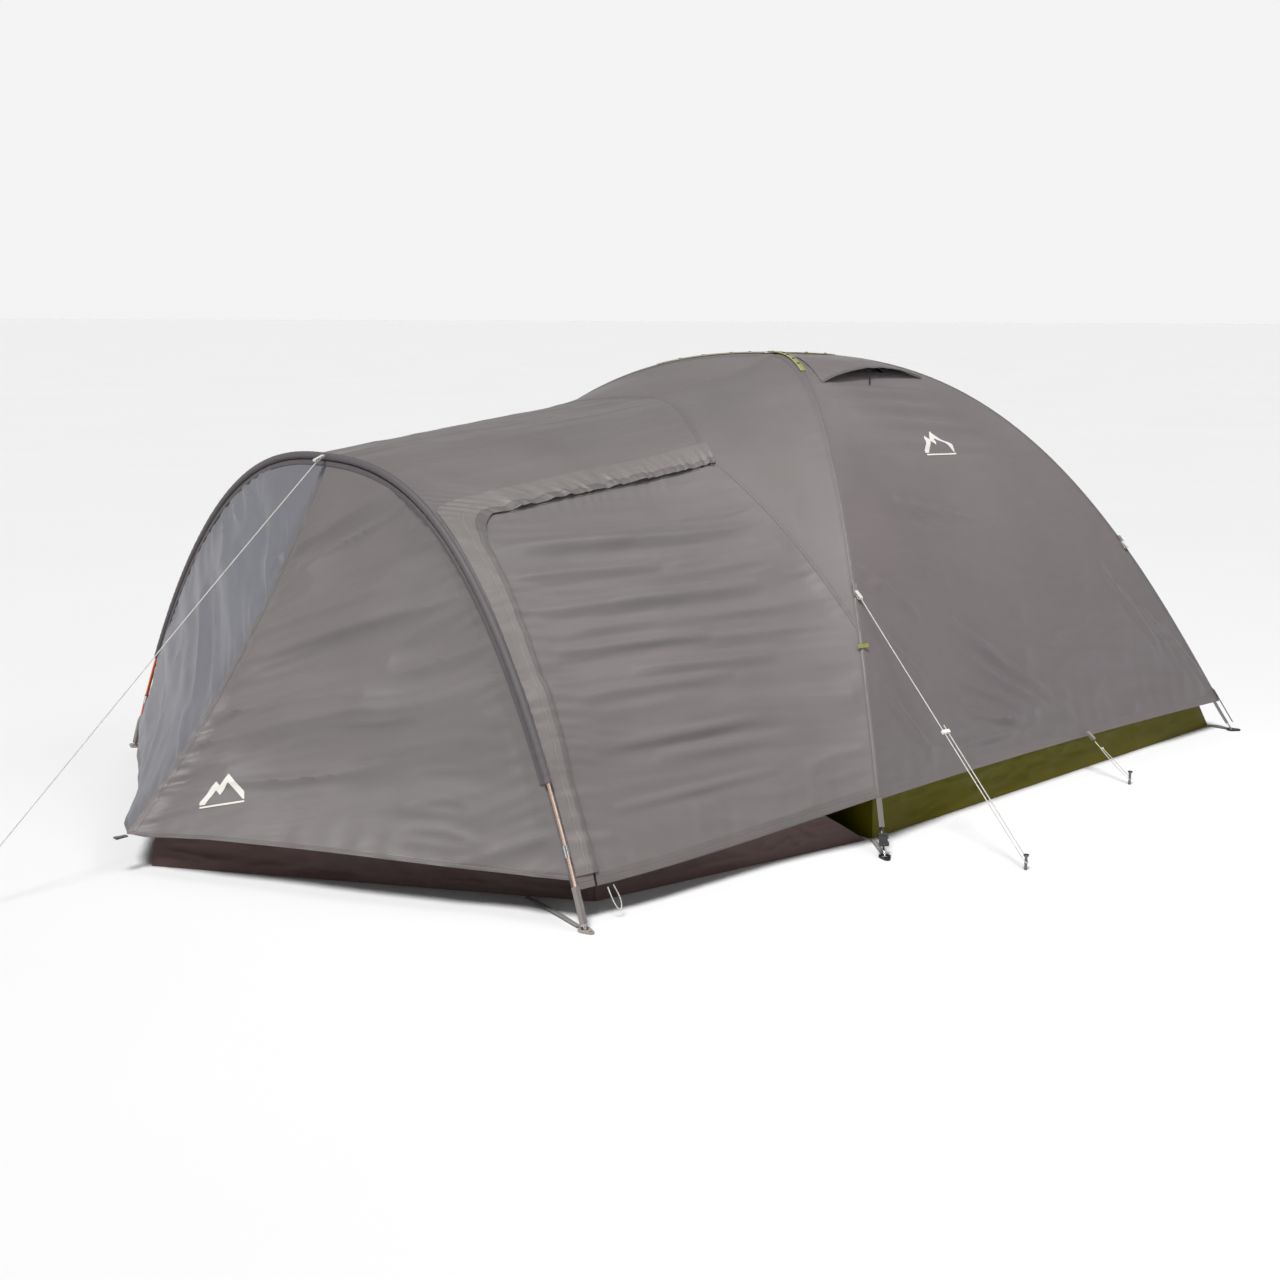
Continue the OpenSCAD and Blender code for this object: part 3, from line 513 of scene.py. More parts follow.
def fabric(name, colour, rough=0.42, sheen=0.12, weave=0.0009, ripstop=0.0062, stitches=(),
           pitch=0.0036, thread=None, patch=0.10, spec=0.45, tint=None, crumple=1.0, dusty=0.12,
           low_shade=0.0):
    """Woven cloth on metre UVs: threads, a ripstop grid, crumples, patchy tone, dust near the
    ground, painted shade towards the bottom, and stitches with painted shade along their grooves.
    """
    g = Graph(name, Sheen_Weight=sheen, Sheen_Roughness=0.35, Specular_IOR_Level=spec)
    g.shader.inputs["Sheen Tint"].default_value = tint or (0.86, 0.84, 0.90, 1.0)
    x, y, _ = g.split(g.uv)
    cloud = g.noise(g.object, 2.3, 3.0, 0.55)
    tone = g.mix(g.spread(cloud, 0.3, 0.7), darker(colour, 1 - patch), darker(colour, 1 + patch))
    blush = g.spread(g.noise(g.object, 1.3, 2.0, 0.5, 0.8), 0.42, 0.66, 0.0, 0.5)
    tone = g.mix(blush, tone, (colour[0] * 1.03, colour[1] * 0.94, colour[2] * 0.98, 1.0))
    height = g.split(g.object)[2]
    # Painted shade: the cloth darkens towards the bottom, most at 0.15 m and not at all above 1.10
    # m, so the upper parts read as lit from above.
    low_shade_share = g.spread(height, 0.15, 1.10, low_shade, 0.0)
    tone = g.mix(low_shade_share, tone, darker(colour, 0.55))
    dust = g.times(g.spread(height, 0.02, 0.22, dusty, 0.0),
                   g.spread(g.noise(g.object, 26.0, 4.0, 0.6), 0.35, 0.7))
    tone = g.mix(dust, tone, DUST)
    warp = g.wave(x, weave)
    weft = g.wave(y, weave)
    threads = g.times(warp, weft)
    soft = g.noise(g.object, 34.0, 3.0, 0.55, 0.6)
    normal = g.bump(soft, 0.0010 * crumple, 0.35)
    if ripstop:
        grid = g.math("MAXIMUM", g.line(g.every(x, ripstop), 0.5, 0.07),
                      g.line(g.every(y, ripstop), 0.5, 0.07))
        tone = g.mix(g.times(grid, 0.16), tone, darker(colour, 0.72))
        normal = g.bump(grid, 0.00025, 0.5, normal)
    normal = g.bump(threads, 0.00010, 0.4, normal)
    tone = g.mix(g.times(g.spread(threads, -1, 1), 0.10), tone, darker(colour, 0.8))
    for at in stitches:
        row = g.line(x, at, 0.0008)
        dash = g.line(g.every(y, pitch), 0.5, 0.36)
        mask = g.times(row, dash)
        # Painted shade: a band along each stitch row is darkened where the bump sinks it into a
        # groove.
        groove = g.line(x, at, 0.0022)
        tone = g.mix(g.times(groove, 0.30), tone, darker(colour, 0.55))
        tone = g.mix(g.times(mask, 0.85), tone, thread or darker(colour, 1.5))
        normal = g.bump(g.math("SUBTRACT", mask, groove), 0.0006, 0.8, normal)
    shine = g.spread(g.noise(g.object, 7.0, 3.0), 0.3, 0.7, rough - 0.05, rough + 0.06)
    return g.finish(tone, shine, normal)


def webbing(name, colour, rib=0.0016, width=0.016, wear=0.25):
    """Ribbed tape: ribs across, a herringbone down the middle and worn pale edges."""
    g = Graph(name, Sheen_Weight=0.35, Sheen_Roughness=0.45, Specular_IOR_Level=0.3)
    x, y, _ = g.split(g.uv)
    slant = g.math("ADD", y, g.times(g.math("ABSOLUTE", x), 0.8))
    ribs = g.wave(slant, rib)
    fuzz = g.noise(g.object, 420.0, 2.0)
    tone = g.mix(g.spread(ribs, -1, 1, 0, 0.5), colour, darker(colour, 0.62))
    edge = g.spread(g.math("ABSOLUTE", x), width * 0.36, width * 0.5)
    worn = g.times(g.times(edge, fuzz), wear * 2)
    tone = g.mix(worn, tone, mix_colour(colour, WORN, 0.6))
    normal = g.bump(ribs, 0.0005, 0.8, g.bump(fuzz, 0.0003, 0.4))
    return g.finish(tone, g.spread(fuzz, 0.3, 0.7, 0.62, 0.82), normal)


def mix_colour(a, b, k):
    return tuple(mix(p, q, k) for p, q in zip(a, b))


def metal(name, colour, rough=0.28, brushed=0.5, shaded_far_colour=None, metallic=1.0):
    """Anodised tube: fine lengthwise brushing, small scuffs and a little grime; given a far colour,
    a painted highlight on the near side that fades into painted shade on the far side.
    """
    g = Graph(name, Metallic=metallic, Specular_IOR_Level=0.5)
    grain = g.noise(g.scaled(g.object, (60.0, 60.0, 900.0)), 1.0, 3.0)
    scuff = g.noise(g.object, 55.0, 6.0, 0.7)
    base = colour
    # Painted highlight and shade by Y: the near side keeps the pale colour as a painted highlight,
    # and the far side turns to the far colour as painted shade.
    if shaded_far_colour is not None:
        side = g.spread(g.split(g.object)[1], -0.6, 0.6)
        base = g.mix(side, colour, shaded_far_colour)
    tone = g.mix(g.spread(scuff, 0.60, 0.80, 0.0, 0.15), base, darker(colour, 0.7))
    shine = g.math("ADD", g.spread(grain, 0.3, 0.7, rough - 0.06, rough + 0.08),
                   g.spread(scuff, 0.55, 0.8, 0.0, 0.2))
    return g.finish(tone, shine, g.bump(grain, 0.0001, brushed * 0.4))


def plastic(name, colour, rough=0.42):
    """Moulded plastic: fine pebble grain, handling shine and pale scratches."""
    g = Graph(name, Specular_IOR_Level=0.45)
    pebble = g.noise(g.object, 900.0, 2.0)
    rub = g.noise(g.object, 40.0, 5.0, 0.65)
    tone = g.mix(g.spread(rub, 0.55, 0.75, 0.0, 0.4), colour, mix_colour(colour, SCRATCH, 0.3))
    return g.finish(tone, g.spread(rub, 0.3, 0.7, rough - 0.1, rough + 0.15),
                    g.bump(pebble, 0.0003, 0.5))


def netting(name, colour, mesh_pitch=0.0022):
    """Fine insect net: round holes between threads, as dark dots in a soft weave."""
    g = Graph(name, Sheen_Weight=0.5, Sheen_Roughness=0.4, Specular_IOR_Level=0.2)
    x, y, _ = g.split(g.uv)
    weave = g.times(g.wave(x, mesh_pitch), g.wave(y, mesh_pitch))
    hole = g.spread(g.math("ABSOLUTE", weave), 0.25, 0.6)
    cloud = g.noise(g.object, 5.0, 3.0)
    tone = g.mix(hole, colour, darker(colour, 0.35))
    tone = g.mix(g.spread(cloud, 0.3, 0.7, 0.0, 0.3), tone, darker(colour, 1.3))
    return g.finish(tone, 0.75, g.bump(hole, 0.0005, 0.6))


def braid(name, colour, along=math.tau / 0.0024, around=math.tau / 0.0022):
    """Braided cord: two crossing spirals of strands with a fleck."""
    g = Graph(name, Sheen_Weight=0.3, Sheen_Roughness=0.5, Specular_IOR_Level=0.35)
    x, y, _ = g.split(g.uv)
    spirals = [g.math("SINE", g.math(turn, g.times(y, along), g.times(x, around)))
               for turn in ("ADD", "SUBTRACT")]
    strands = g.math("MAXIMUM", *spirals)
    tone = g.mix(g.spread(strands, 0.0, 1.0), darker(colour, 0.62), colour)
    soil = g.spread(g.noise(g.object, 30.0, 4.0), 0.5, 0.8, 0.0, 0.35)
    tone = g.mix(soil, tone, SOIL)
    return g.finish(tone, 0.7, g.bump(strands, 0.0006, 0.8))


M = {
    "fly": fabric("fly cloth", srgb(107, 103, 102)),
    # The dome cloth is a slightly lighter copy of the fly cloth, darkened towards the bottom as
    # painted shade.
    "dome": fabric("dome cloth", srgb(112, 107, 107), rough=0.36, sheen=0.16, low_shade=0.6),
    "seam": fabric("seam tape", srgb(103, 99, 98), ripstop=None, stitches=(-0.0045, 0.0045),
                   thread=srgb(152, 148, 146)),
    "hem": fabric("folded hem", srgb(98, 94, 93), ripstop=None, stitches=(0.0035,),
                  thread=srgb(130, 125, 122)),
    # A paler, bluer copy of the fly cloth for the far panels: painted light, standing in for light
    # shining through the backlit cloth.
    "pale": fabric("backlit fly cloth", srgb(106, 107, 112), rough=0.46, sheen=0.2),
    "sleeve": fabric("sleeve cloth", srgb(84, 80, 82), ripstop=None, patch=0.06, rough=0.6),
    # The flap is a lighter copy of the fly cloth: a painted highlight, so the hanging flap reads
    # brighter than the cloth round it.
    "flap": fabric("flap cloth", srgb(114, 110, 108), stitches=(0.0,), thread=srgb(170, 166, 160)),
    "olive": fabric("olive floor cloth", srgb(88, 83, 0), rough=0.5, sheen=0.0, patch=0.12,
                    spec=0.12, tint=(0.9, 0.9, 0.6, 1.0), crumple=1.8, dusty=0.0),
    "brown": fabric("brown floor cloth", srgb(76, 55, 53), rough=0.42, sheen=0.05, patch=0.14,
                    spec=0.3, crumple=1.6, dusty=0.04),
    "net": netting("insect net", srgb(96, 92, 90)),
    "olive_tape": webbing("olive webbing", srgb(150, 150, 46)),
    "grey_tape": webbing("grey webbing", srgb(128, 122, 118), width=0.014),
    "dark_tape": webbing("dark webbing", srgb(52, 50, 50), width=0.012),
    "white_tape": webbing("white tape", srgb(228, 226, 220), width=0.014, wear=0.1),
    "zip": webbing("zip tape", srgb(88, 84, 83), rib=0.0011, width=0.012),
    "zip_teeth": plastic("zip teeth", srgb(46, 45, 47), 0.35),
    "cord": braid("white cord", srgb(232, 230, 225)),
    "ink": fabric("pale print", srgb(206, 204, 198), rough=0.6, sheen=0.05, ripstop=None,
                  patch=0.04),
    "stake": metal("stake metal", srgb(112, 112, 116), 0.38),
    "pole": metal("grey pole", srgb(136, 136, 138), 0.34),
    # The hoop pole: pale copper on its near leg as a painted highlight, deep orange on its far leg
    # as painted shade.
    "copper": metal("copper pole", srgb(190, 168, 154), 0.24, shaded_far_colour=srgb(214, 104, 48)),
    "bright": metal("bright metal", srgb(206, 206, 208), 0.22),
    "black": plastic("black plastic", srgb(34, 34, 36)),
}

# Each material's slot, unless a piece names another one.
SLOT_OF = {
    **dict.fromkeys(("fly", "dome", "seam", "hem", "flap"), "fly_cloth"),
    **dict.fromkeys(("olive", "olive_bind"), "olive_floor"),
    **dict.fromkeys(("grey_tape", "dark_tape"), "grey_webbing"),
    **dict.fromkeys(("white_tape", "cord", "ink"), "white_cord"),
    **dict.fromkeys(("zip", "zip_teeth"), "zip_tape"),
    "pale": "pale_cloth", "sleeve": "sleeve_cloth", "brown": "brown_floor", "net": "mesh",
    "olive_tape": "olive_webbing",
}

# -------- mesh building


def link(mesh, name, material, angle=50):
    name = name + "_cloth" if name in NODES else name
    mesh.name = name
    mesh.polygons.foreach_set("use_smooth", [True] * len(mesh.polygons))
    mesh.set_sharp_from_angle(angle=math.radians(angle))
    obj = bpy.data.objects.new(name, mesh)
    obj.data.materials.append(M[material])
    bpy.context.scene.collection.objects.link(obj)
    return obj


def settle(obj, slot, stands_for, body="tent", crossing=None):
    """Puts a piece on its body; a piece given a crossing (body a, body b, start, end) only has its
    transform baked in and is put on neither body.
    """
    if crossing:
        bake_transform(obj)
    else:
        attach(obj, body)
    if stands_for:
        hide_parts(stands_for)
    return obj


def made_of(name, verts, faces, uv, material, angle=50, slot=None, stands_for=None, **where):
    """A mesh piece from points, faces (a list of index tuples) and one UV for each point.

    It stands for the CAD node that stands_for names, or for the node that has its own name.
    """
    stands_for = stands_for or (name if name in NODES else None)
    mesh = bpy.data.meshes.new(name)
    mesh.from_pydata(np.asarray(verts).tolist(), [], faces)
    mesh.update()
    layer = mesh.uv_layers.new(name="UVMap")
    index = np.empty(len(mesh.loops), dtype=np.int32)
    mesh.loops.foreach_get("vertex_index", index)
    layer.data.foreach_set("uv", np.asarray(uv, np.float32)[index].ravel())
    return settle(link(mesh, name, material, angle), slot or SLOT_OF[material], stands_for, **where)


def run(g, axis):
    """Cumulative length along an axis of a grid of points."""
    step = np.linalg.norm(np.diff(g, axis=axis), axis=-1)
    zero = np.zeros_like(np.take(step, [0], axis=axis))
    return np.concatenate([zero, np.cumsum(step, axis=axis)], axis=axis)


def shell(name, grid, material, thick=0.0008, wrap=False, keep=None, angle=50, **where):
    """A thin closed sheet round a grid of points; wrap joins its last row to its first."""
    g = np.asarray(grid, float)
    n, m = g.shape[:2]
    di = np.roll(g, -1, 0) - np.roll(g, 1, 0) if wrap else np.gradient(g, axis=0)
    nrm = unit(np.cross(di, np.gradient(g, axis=1)))
    u, v = run(g, 0), run(g, 1)
    u = u - u[n // 2]
    uv = np.stack([u, v], -1).reshape(-1, 2)
    rows = np.arange(n if wrap else n - 1)
    i, j = np.meshgrid(rows, np.arange(m - 1), indexing="ij")
    if keep is not None:
        i, j = i[keep], j[keep]
    i, j = i.ravel(), j.ravel()
    i1 = (i + 1) % n
    a, b, c, d = i * m + j, i1 * m + j, i1 * m + j + 1, i * m + j + 1
    top = np.stack([a, b, c, d], -1)
    base = n * m
    edges = np.concatenate([top[:, [0, 1]], top[:, [1, 2]], top[:, [2, 3]], top[:, [3, 0]]])
    key, back = edges[:, 0] * base + edges[:, 1], edges[:, 1] * base + edges[:, 0]
    rim = edges[~np.isin(key, back)]
    sides = np.stack([rim[:, 1], rim[:, 0], rim[:, 0] + base, rim[:, 1] + base], -1)
    faces = np.concatenate([top, top[:, ::-1] + base, sides])
    verts = np.concatenate([(g + nrm * thick / 2).reshape(-1, 3),
                            (g - nrm * thick / 2).reshape(-1, 3)])
    used = np.unique(faces)
    order = np.full(2 * base, -1)
    order[used] = np.arange(len(used))
    return made_of(name, verts[used], order[faces].tolist(), np.concatenate([uv, uv])[used],
                   material, angle, **where)


def sheet(name, g, material, held, rests_on, flat=None, **how):
    """A shell built from the grid; flat is not used."""
    shell(name, g, material, **how)


def sweep(name, rings, material, angle=40, caps=True, **where):
    """A closed tube through rings of points (n, m, 3), with flat caps."""
    g = np.asarray(rings, float)
    n, m = g.shape[:2]
    i, j = np.meshgrid(np.arange(n - 1), np.arange(m), indexing="ij")
    i, j = i.ravel(), j.ravel()
    k = (j + 1) % m
    faces = np.stack([i * m + j, i * m + k, (i + 1) * m + k, (i + 1) * m + j], -1).tolist()
    if caps:
        faces += [tuple(range(m))[::-1], tuple(range((n - 1) * m, n * m))]
    around = np.concatenate([[0], np.cumsum(np.linalg.norm(np.diff(g[0], axis=0), axis=1))])
    uv = np.stack([np.broadcast_to(around, (n, m)), run(g, 0)], -1).reshape(-1, 2)
    return made_of(name, g.reshape(-1, 3), faces, uv, material, angle, **where)


def tube_rings(path, radius, sides=10):
    """Rings round a smooth path, turned as little as possible from one to the next."""
    p = np.asarray(path, float)
    d = unit(np.gradient(p, axis=0))
    a = unit(np.cross(d[0], UP if abs(d[0][2]) < 0.9 else np.array([1.0, 0, 0])))
    rings, angles = [], np.arange(sides) * math.tau / sides
    radii = np.broadcast_to(radius, (len(p),))
    for q, e, r in zip(p, d, radii):
        a = unit(a - e * (a @ e))
        b = np.cross(e, a)
        rings.append(q + r * (np.cos(angles)[:, None] * a + np.sin(angles)[:, None] * b))
    return np.array(rings)


def rounded(points, rounds=3):
    """Corners cut again and again, with the two ends kept."""
    p = np.asarray(points, float)
    for _ in range(rounds):
        q = np.empty((2 * len(p) - 2, p.shape[1]))
        q[0::2], q[1::2] = 0.75 * p[:-1] + 0.25 * p[1:], 0.25 * p[:-1] + 0.75 * p[1:]
        p = np.concatenate([p[:1], q, p[-1:]])
    return p


def spaced(points, count):
    """count points at even steps along a polyline."""
    p = np.asarray(points, float)
    s = np.concatenate([[0], np.cumsum(np.linalg.norm(np.diff(p, axis=0), axis=1))])
    k = np.linspace(0, s[-1], count)
    return np.stack([np.interp(k, s, c) for c in p.T], -1)


def strap_grid(path, side, width, across=5, crown=0.0004):
    """A grid for a flat strap along a path, with its width along side."""
    p = np.asarray(path, float)
    side = unit(np.broadcast_to(side, p.shape))
    k = np.linspace(-0.5, 0.5, across)
    n = unit(np.cross(np.gradient(p, axis=0), side))
    return np.stack([p + side * width * q + n * crown * (1 - 4 * q * q) for q in k], 0)


# -------- camera


def look(location, yaw, pitch, roll, lens):
    """The camera at the photograph's angle: yaw from +X, pitch downwards, in radians."""
    cam = bpy.data.objects.new("camera", bpy.data.cameras.new("camera"))
    bpy.context.scene.collection.objects.link(cam)
    ahead = Vector((math.cos(yaw) * math.cos(pitch), math.sin(yaw) * math.cos(pitch),
                    -math.sin(pitch)))
    cam.rotation_mode = "QUATERNION"
    cam.rotation_quaternion = ahead.to_track_quat("-Z", "Y") @ Quaternion((0, 0, 1), roll)
    cam.location = location
    cam.data.lens = lens
    cam.data.sensor_width = 36
    cam.data.clip_start, cam.data.clip_end = 0.05, 100
    bpy.context.scene.camera = cam


look(location=(-3.251, -3.484, 1.326), yaw=0.8048, pitch=0.2047, roll=0.0043, lens=46.18)

# -------- cords

LINE_D = 0.0028
ROUTES = {
    "front_guyline": [[-1010, 0, 930], [-1300, 0, 665], [-1600, 0, 383], [-1900, 0, 101],
                      [-1984, 4, 22], [-1991, 7, 16], [-1998, 5, 14], [-2000, 0, 14],
                      [-1998, -5, 14], [-1991, -7, 16], [-1984, -5, 22], [-1966, -4, 40]],
    "side_guyline": [[42, -882, 572], [29, -1000, 456], [13, -1150, 310], [-3, -1300, 163],
                     [-18, -1440, 26], [-17, -1447, 18], [-12, -1451, 14], [-7, -1447, 18],
                     [-4, -1440, 26], [11, -1300, 163], [26, -1165, 295]],
    "hem_line": [[815, -1127, 99], [808, -1190, 50], [802, -1244, 18], [803, -1250, 13],
                 [808, -1253, 11], [813, -1250, 13], [814, -1243, 19], [817, -1190, 55],
                 [818, -1150, 83]],
    "hoop_loop": [[-948, -992, 72], [-944, -1000, 50], [-936, -1006, 28], [-926, -1008, 16],
                  [-918, -1006, 22], [-920, -1002, 44], [-927, -996, 62], [-933, -994, 74]],
}


def knot(name, centre, size, **where):
    """A small overhand knot: a tube that follows a trefoil."""
    k = np.linspace(0, math.tau, 64, endpoint=False)
    p = centre + np.stack([np.sin(k) + 2 * np.sin(2 * k), np.cos(k) - 2 * np.cos(2 * k),
                           -1.4 * np.sin(3 * k)], -1) * size / 3
    p = np.concatenate([p, p[:2]])
    return sweep(name, tube_rings(p, LINE_D * 0.42, 8), "cord", **where)


for name, far_end, lay, share in (
        ("front_guyline", "knot", "taut", 1.0), ("side_guyline", "object", "taut", 1.0),
        ("hem_line", "knot", "taut", 0.8), ("hoop_loop", "object", "hanging", 1.0)):
    thick = LINE_D * share
    line = rounded(np.array(ROUTES[name]) / 1000, 3)
    line = rounded(spaced(line, max(24, int(run(line[None], 1)[0, -1] / 0.012))), 1)
    obj = sweep(name + "_cord", tube_rings(line, thick / 2, 10), "cord", stands_for=name)
    if far_end == "knot":
        knot(name + "_knot", line[-1], 0.0042 * thick / LINE_D,
                          stands_for="front_line_knot" if name == "front_guyline" else None)

# -------- the fly

hinge_dir = unit(HINGE_FOOT - HINGE_TOP)
door_ahead = unit(np.array([-1.0, 0, 0]) + hinge_dir * hinge_dir[0])
DOOR_BEND = ("tent", "porch_door", HINGE_FOOT - 0.004 * door_ahead, HINGE_FOOT + 0.064 * door_ahead)


def spread_over(na, nb, f):
    """Surface shares (a, b) for a grid, from f(i, j) with i and j running from 0 to 1."""
    i, j = np.meshgrid(np.linspace(0, 1, na + 1), np.linspace(0, 1, nb + 1), indexing="ij")
    return np.broadcast_arrays(*f(i, j))


def panel(name, cloth, na, nb, f, material, rests_on, keep=None, crossing=None):
    a, b = spread_over(na, nb, f)
    sheet(name, cloth.at(a, b), material, "stretched", rests_on,
          keep=keep(a, b) if keep else None, crossing=crossing)


def vent_open(v, t):
    """Faces of the near side panel to keep: all but those in the opening under the hood."""
    p = near_pt(v, t)
    x, y = p[..., 0] - X_APEX, p[..., 1]
    hole = (np.abs(x) < 0.108) & (y < -0.24) & (y > -0.34)
    return ~(hole[:-1, :-1] & hole[1:, 1:])


def from_hoop(t, start, end, k, side=1):
    """Porch shares at t down the arch, k of the way from start to end, on side 1 or -1."""
    return mix(start, end, k), side * t


POLES = ["pole_front_near", "pole_rear_near", "pole_front_far", "pole_rear_far"]
HOOP, TOP, NOSE_TOP = ["hoop_pole"], 0.004, 0.006
panel("fly_side_near", SIDE_NEAR, 215, 200,
      lambda i, j: (i, mix(TOP, side_hem(i), down_dome(j))), "dome", POLES[:2], keep=vent_open)
panel("fly_side_far", SIDE_FAR, 110, 110,
      lambda i, j: (i, mix(TOP, side_hem(1 - i), down_dome(j))), "dome", POLES[2:])
panel("fly_rear", REAR, 120, 110, lambda i, j: (i, mix(TOP, HEM_REAR, down_dome(j))), "dome",
      POLES[1::2])
panel("fly_front", FRONT, 220, 44, lambda i, j: from_hoop(
    t := mix(-SEAM_END, SEAM_END, i), seam_u(t), 1.0, j), "fly", POLES[::2])
panel("porch_roof", PORCH, 150, 130, lambda i, j: from_hoop(
    t := mix(-DOOR_TOP, DOOR_TOP, i), 0.0, seam_u(t), 0.45 * j + 0.55 * j ** 1.7), "fly",
    HOOP + POLES[::2])
panel("porch_wall_near", PORCH, 16, 200, lambda i, j: from_hoop(
    t := mix(DOOR_TOP + 0.001, porch_hem(0.05), j), 0.0, door_u(t) - DOOR_GAP, i, -1), "fly", HOOP)
# The far porch wall wears the paler copy of the fly cloth as painted light.
panel("porch_wall_far", PORCH, 90, 110, lambda i, j: from_hoop(
    t := mix(DOOR_TOP, porch_hem(i), j), 0.0, seam_u(t), i), "pale", HOOP + POLES[2:3])
panel("porch_door", PORCH, 120, 170, lambda i, j: from_hoop(
    t := mix(DOOR_TOP + DOOR_GAP, porch_hem(i), j), door_u(t) + DOOR_GAP, seam_u(t), i, -1), "fly",
    HOOP + POLES[:1], crossing=DOOR_BEND)
panel("nose_near", NOSE_NEAR, 150, 140, lambda i, j: (mix(NOSE_TOP, 1.0, i), j), "fly", HOOP)
# The far nose wears the paler copy of the fly cloth as painted light.
panel("nose_far", NOSE_FAR, 90, 90, lambda i, j: (mix(NOSE_TOP, 1.0, i), j), "pale", HOOP)

# -------- seams and hems


def pole_seam(name, sx, sy, first, second, t0, t1):
    """Tape over a pole, folded onto the two panels that meet there; each panel is f(t, off)."""
    t = np.linspace(t0, t1, 200)
    offs = (0.0068, 0.0045, 0.0022)
    rows = [first(t, o, 0.0009) for o in offs] + [dome_pt(sy * t, sx, FLY_OUT + 0.0016)]
    rows += [second(t, o, 0.0009) for o in offs[::-1]]
    shell(name, np.stack(rows, 0), "seam", thick=SEAM_THICK)


def beside_pole(cloth, width, from_start):
    """f(t, off) on a dome panel that is width wide at its foot, off metres from the pole."""
    def f(t, off, lift):
        k = np.clip(off / (width * np.maximum(t, 0.03)), 0, 0.5)
        return cloth.at(k if from_start else 1 - k, t, lift)
    return f


def before_pole(sy):
    """f(t, off) ahead of a front pole: on the fly's front, and below it on the porch."""
    def f(t, off, lift):
        u = 1 - off / np.maximum(0.40, PORCH_LEN * (0.3 + 0.7 * t))
        return np.where((t < SEAM_END)[:, None], FRONT.at(u, sy * t, lift),
                        PORCH.at(u, sy * t, lift))
    return f


for tag, sx, sy, side, start in (("front_near", -1, -1, SIDE_NEAR, True),
                                 ("rear_near", 1, -1, SIDE_NEAR, False),
                                 ("front_far", -1, 1, SIDE_FAR, False),
                                 ("rear_far", 1, 1, SIDE_FAR, True)):
    other = before_pole(sy) if sx < 0 else beside_pole(REAR, DOME_WID, sy > 0)
    pole_seam("seam_" + tag, sx, sy, beside_pole(side, DOME_LEN, start), other, 0.03,
              side_hem(0 if sx < 0 else 1) - 0.002)

# The porch seam runs over the ridge and down to the front pole on each side.
for name, t0, t1 in (("seam_porch_roof", -DOOR_TOP, DOOR_TOP),
                     ("seam_porch_near", -SEAM_END, -DOOR_TOP),
                     ("seam_porch_far", DOOR_TOP, SEAM_END)):
    t = np.linspace(t0, t1, 140)
    grid = np.stack([(PORCH if o < 0 else FRONT).at(seam_u(t) + o, t, TAPE_LIFT)
                     for o in np.linspace(-0.006, 0.006, 5) / PORCH_RUN], 0)
    shell(name, grid, "seam", thick=SEAM_THICK)

w = np.linspace(0.01, 0.999, 160)
offs = (0.014, 0.009, 0.004)
grid = np.stack([NOSE_NEAR.at(w, o, TAPE_LIFT) for o in offs]
                + [nose_seam(w) + np.array([-0.0010, 0, 0.0012])]
                + [NOSE_FAR.at(w, o, TAPE_LIFT) for o in offs[::-1]], 0)
shell("seam_nose", grid, "seam", thick=SEAM_THICK)


def hem(name, cloth, f, count, crossing=None):
    """A folded hem: f(k, off) gives surface shares at k along it and off up from the edge."""
    k = np.linspace(0, 1, count)
    profile = ((0.0, 0.0), (0.0, 0.0011), (0.004, 0.0014), (0.008, 0.0012), (0.012, 0.0005))
    shell(name, np.stack([cloth.at(*f(k, off), lift) for off, lift in profile], 0), "hem",
          thick=HEM_THICK, crossing=crossing)


def porch_edge(u, off, side):
    return u, side * (porch_hem(u) - off / PORCH_DROP)


hem("hem_side_near", SIDE_NEAR, lambda k, o: (k, side_hem(k) - o / DOME_DROP), 170)
hem("hem_side_far", SIDE_FAR, lambda k, o: (k, side_hem(1 - k) - o / DOME_DROP), 110)
hem("hem_rear", REAR, lambda k, o: (k, HEM_REAR - o / DOME_DROP + 0 * k), 130)
hem("hem_nose_near", NOSE_NEAR, lambda k, o: (1 - o / PORCH_DROP + 0 * k, k), 110)
hem("hem_nose_far", NOSE_FAR, lambda k, o: (1 - o / PORCH_DROP + 0 * k, k), 100)
hem("hem_porch_far", PORCH, lambda k, o: porch_edge(k, o, 1), 100)
hem("hem_porch_front", PORCH, lambda k, o: porch_edge(k * (DOOR_FRONT - 0.004), o, -1), 20)
hem("hem_door", PORCH, lambda k, o: porch_edge(mix(DOOR_FRONT + 0.004, 1, k), o, -1), 120,
    crossing=DOOR_BEND)

# -------- hoop sleeve


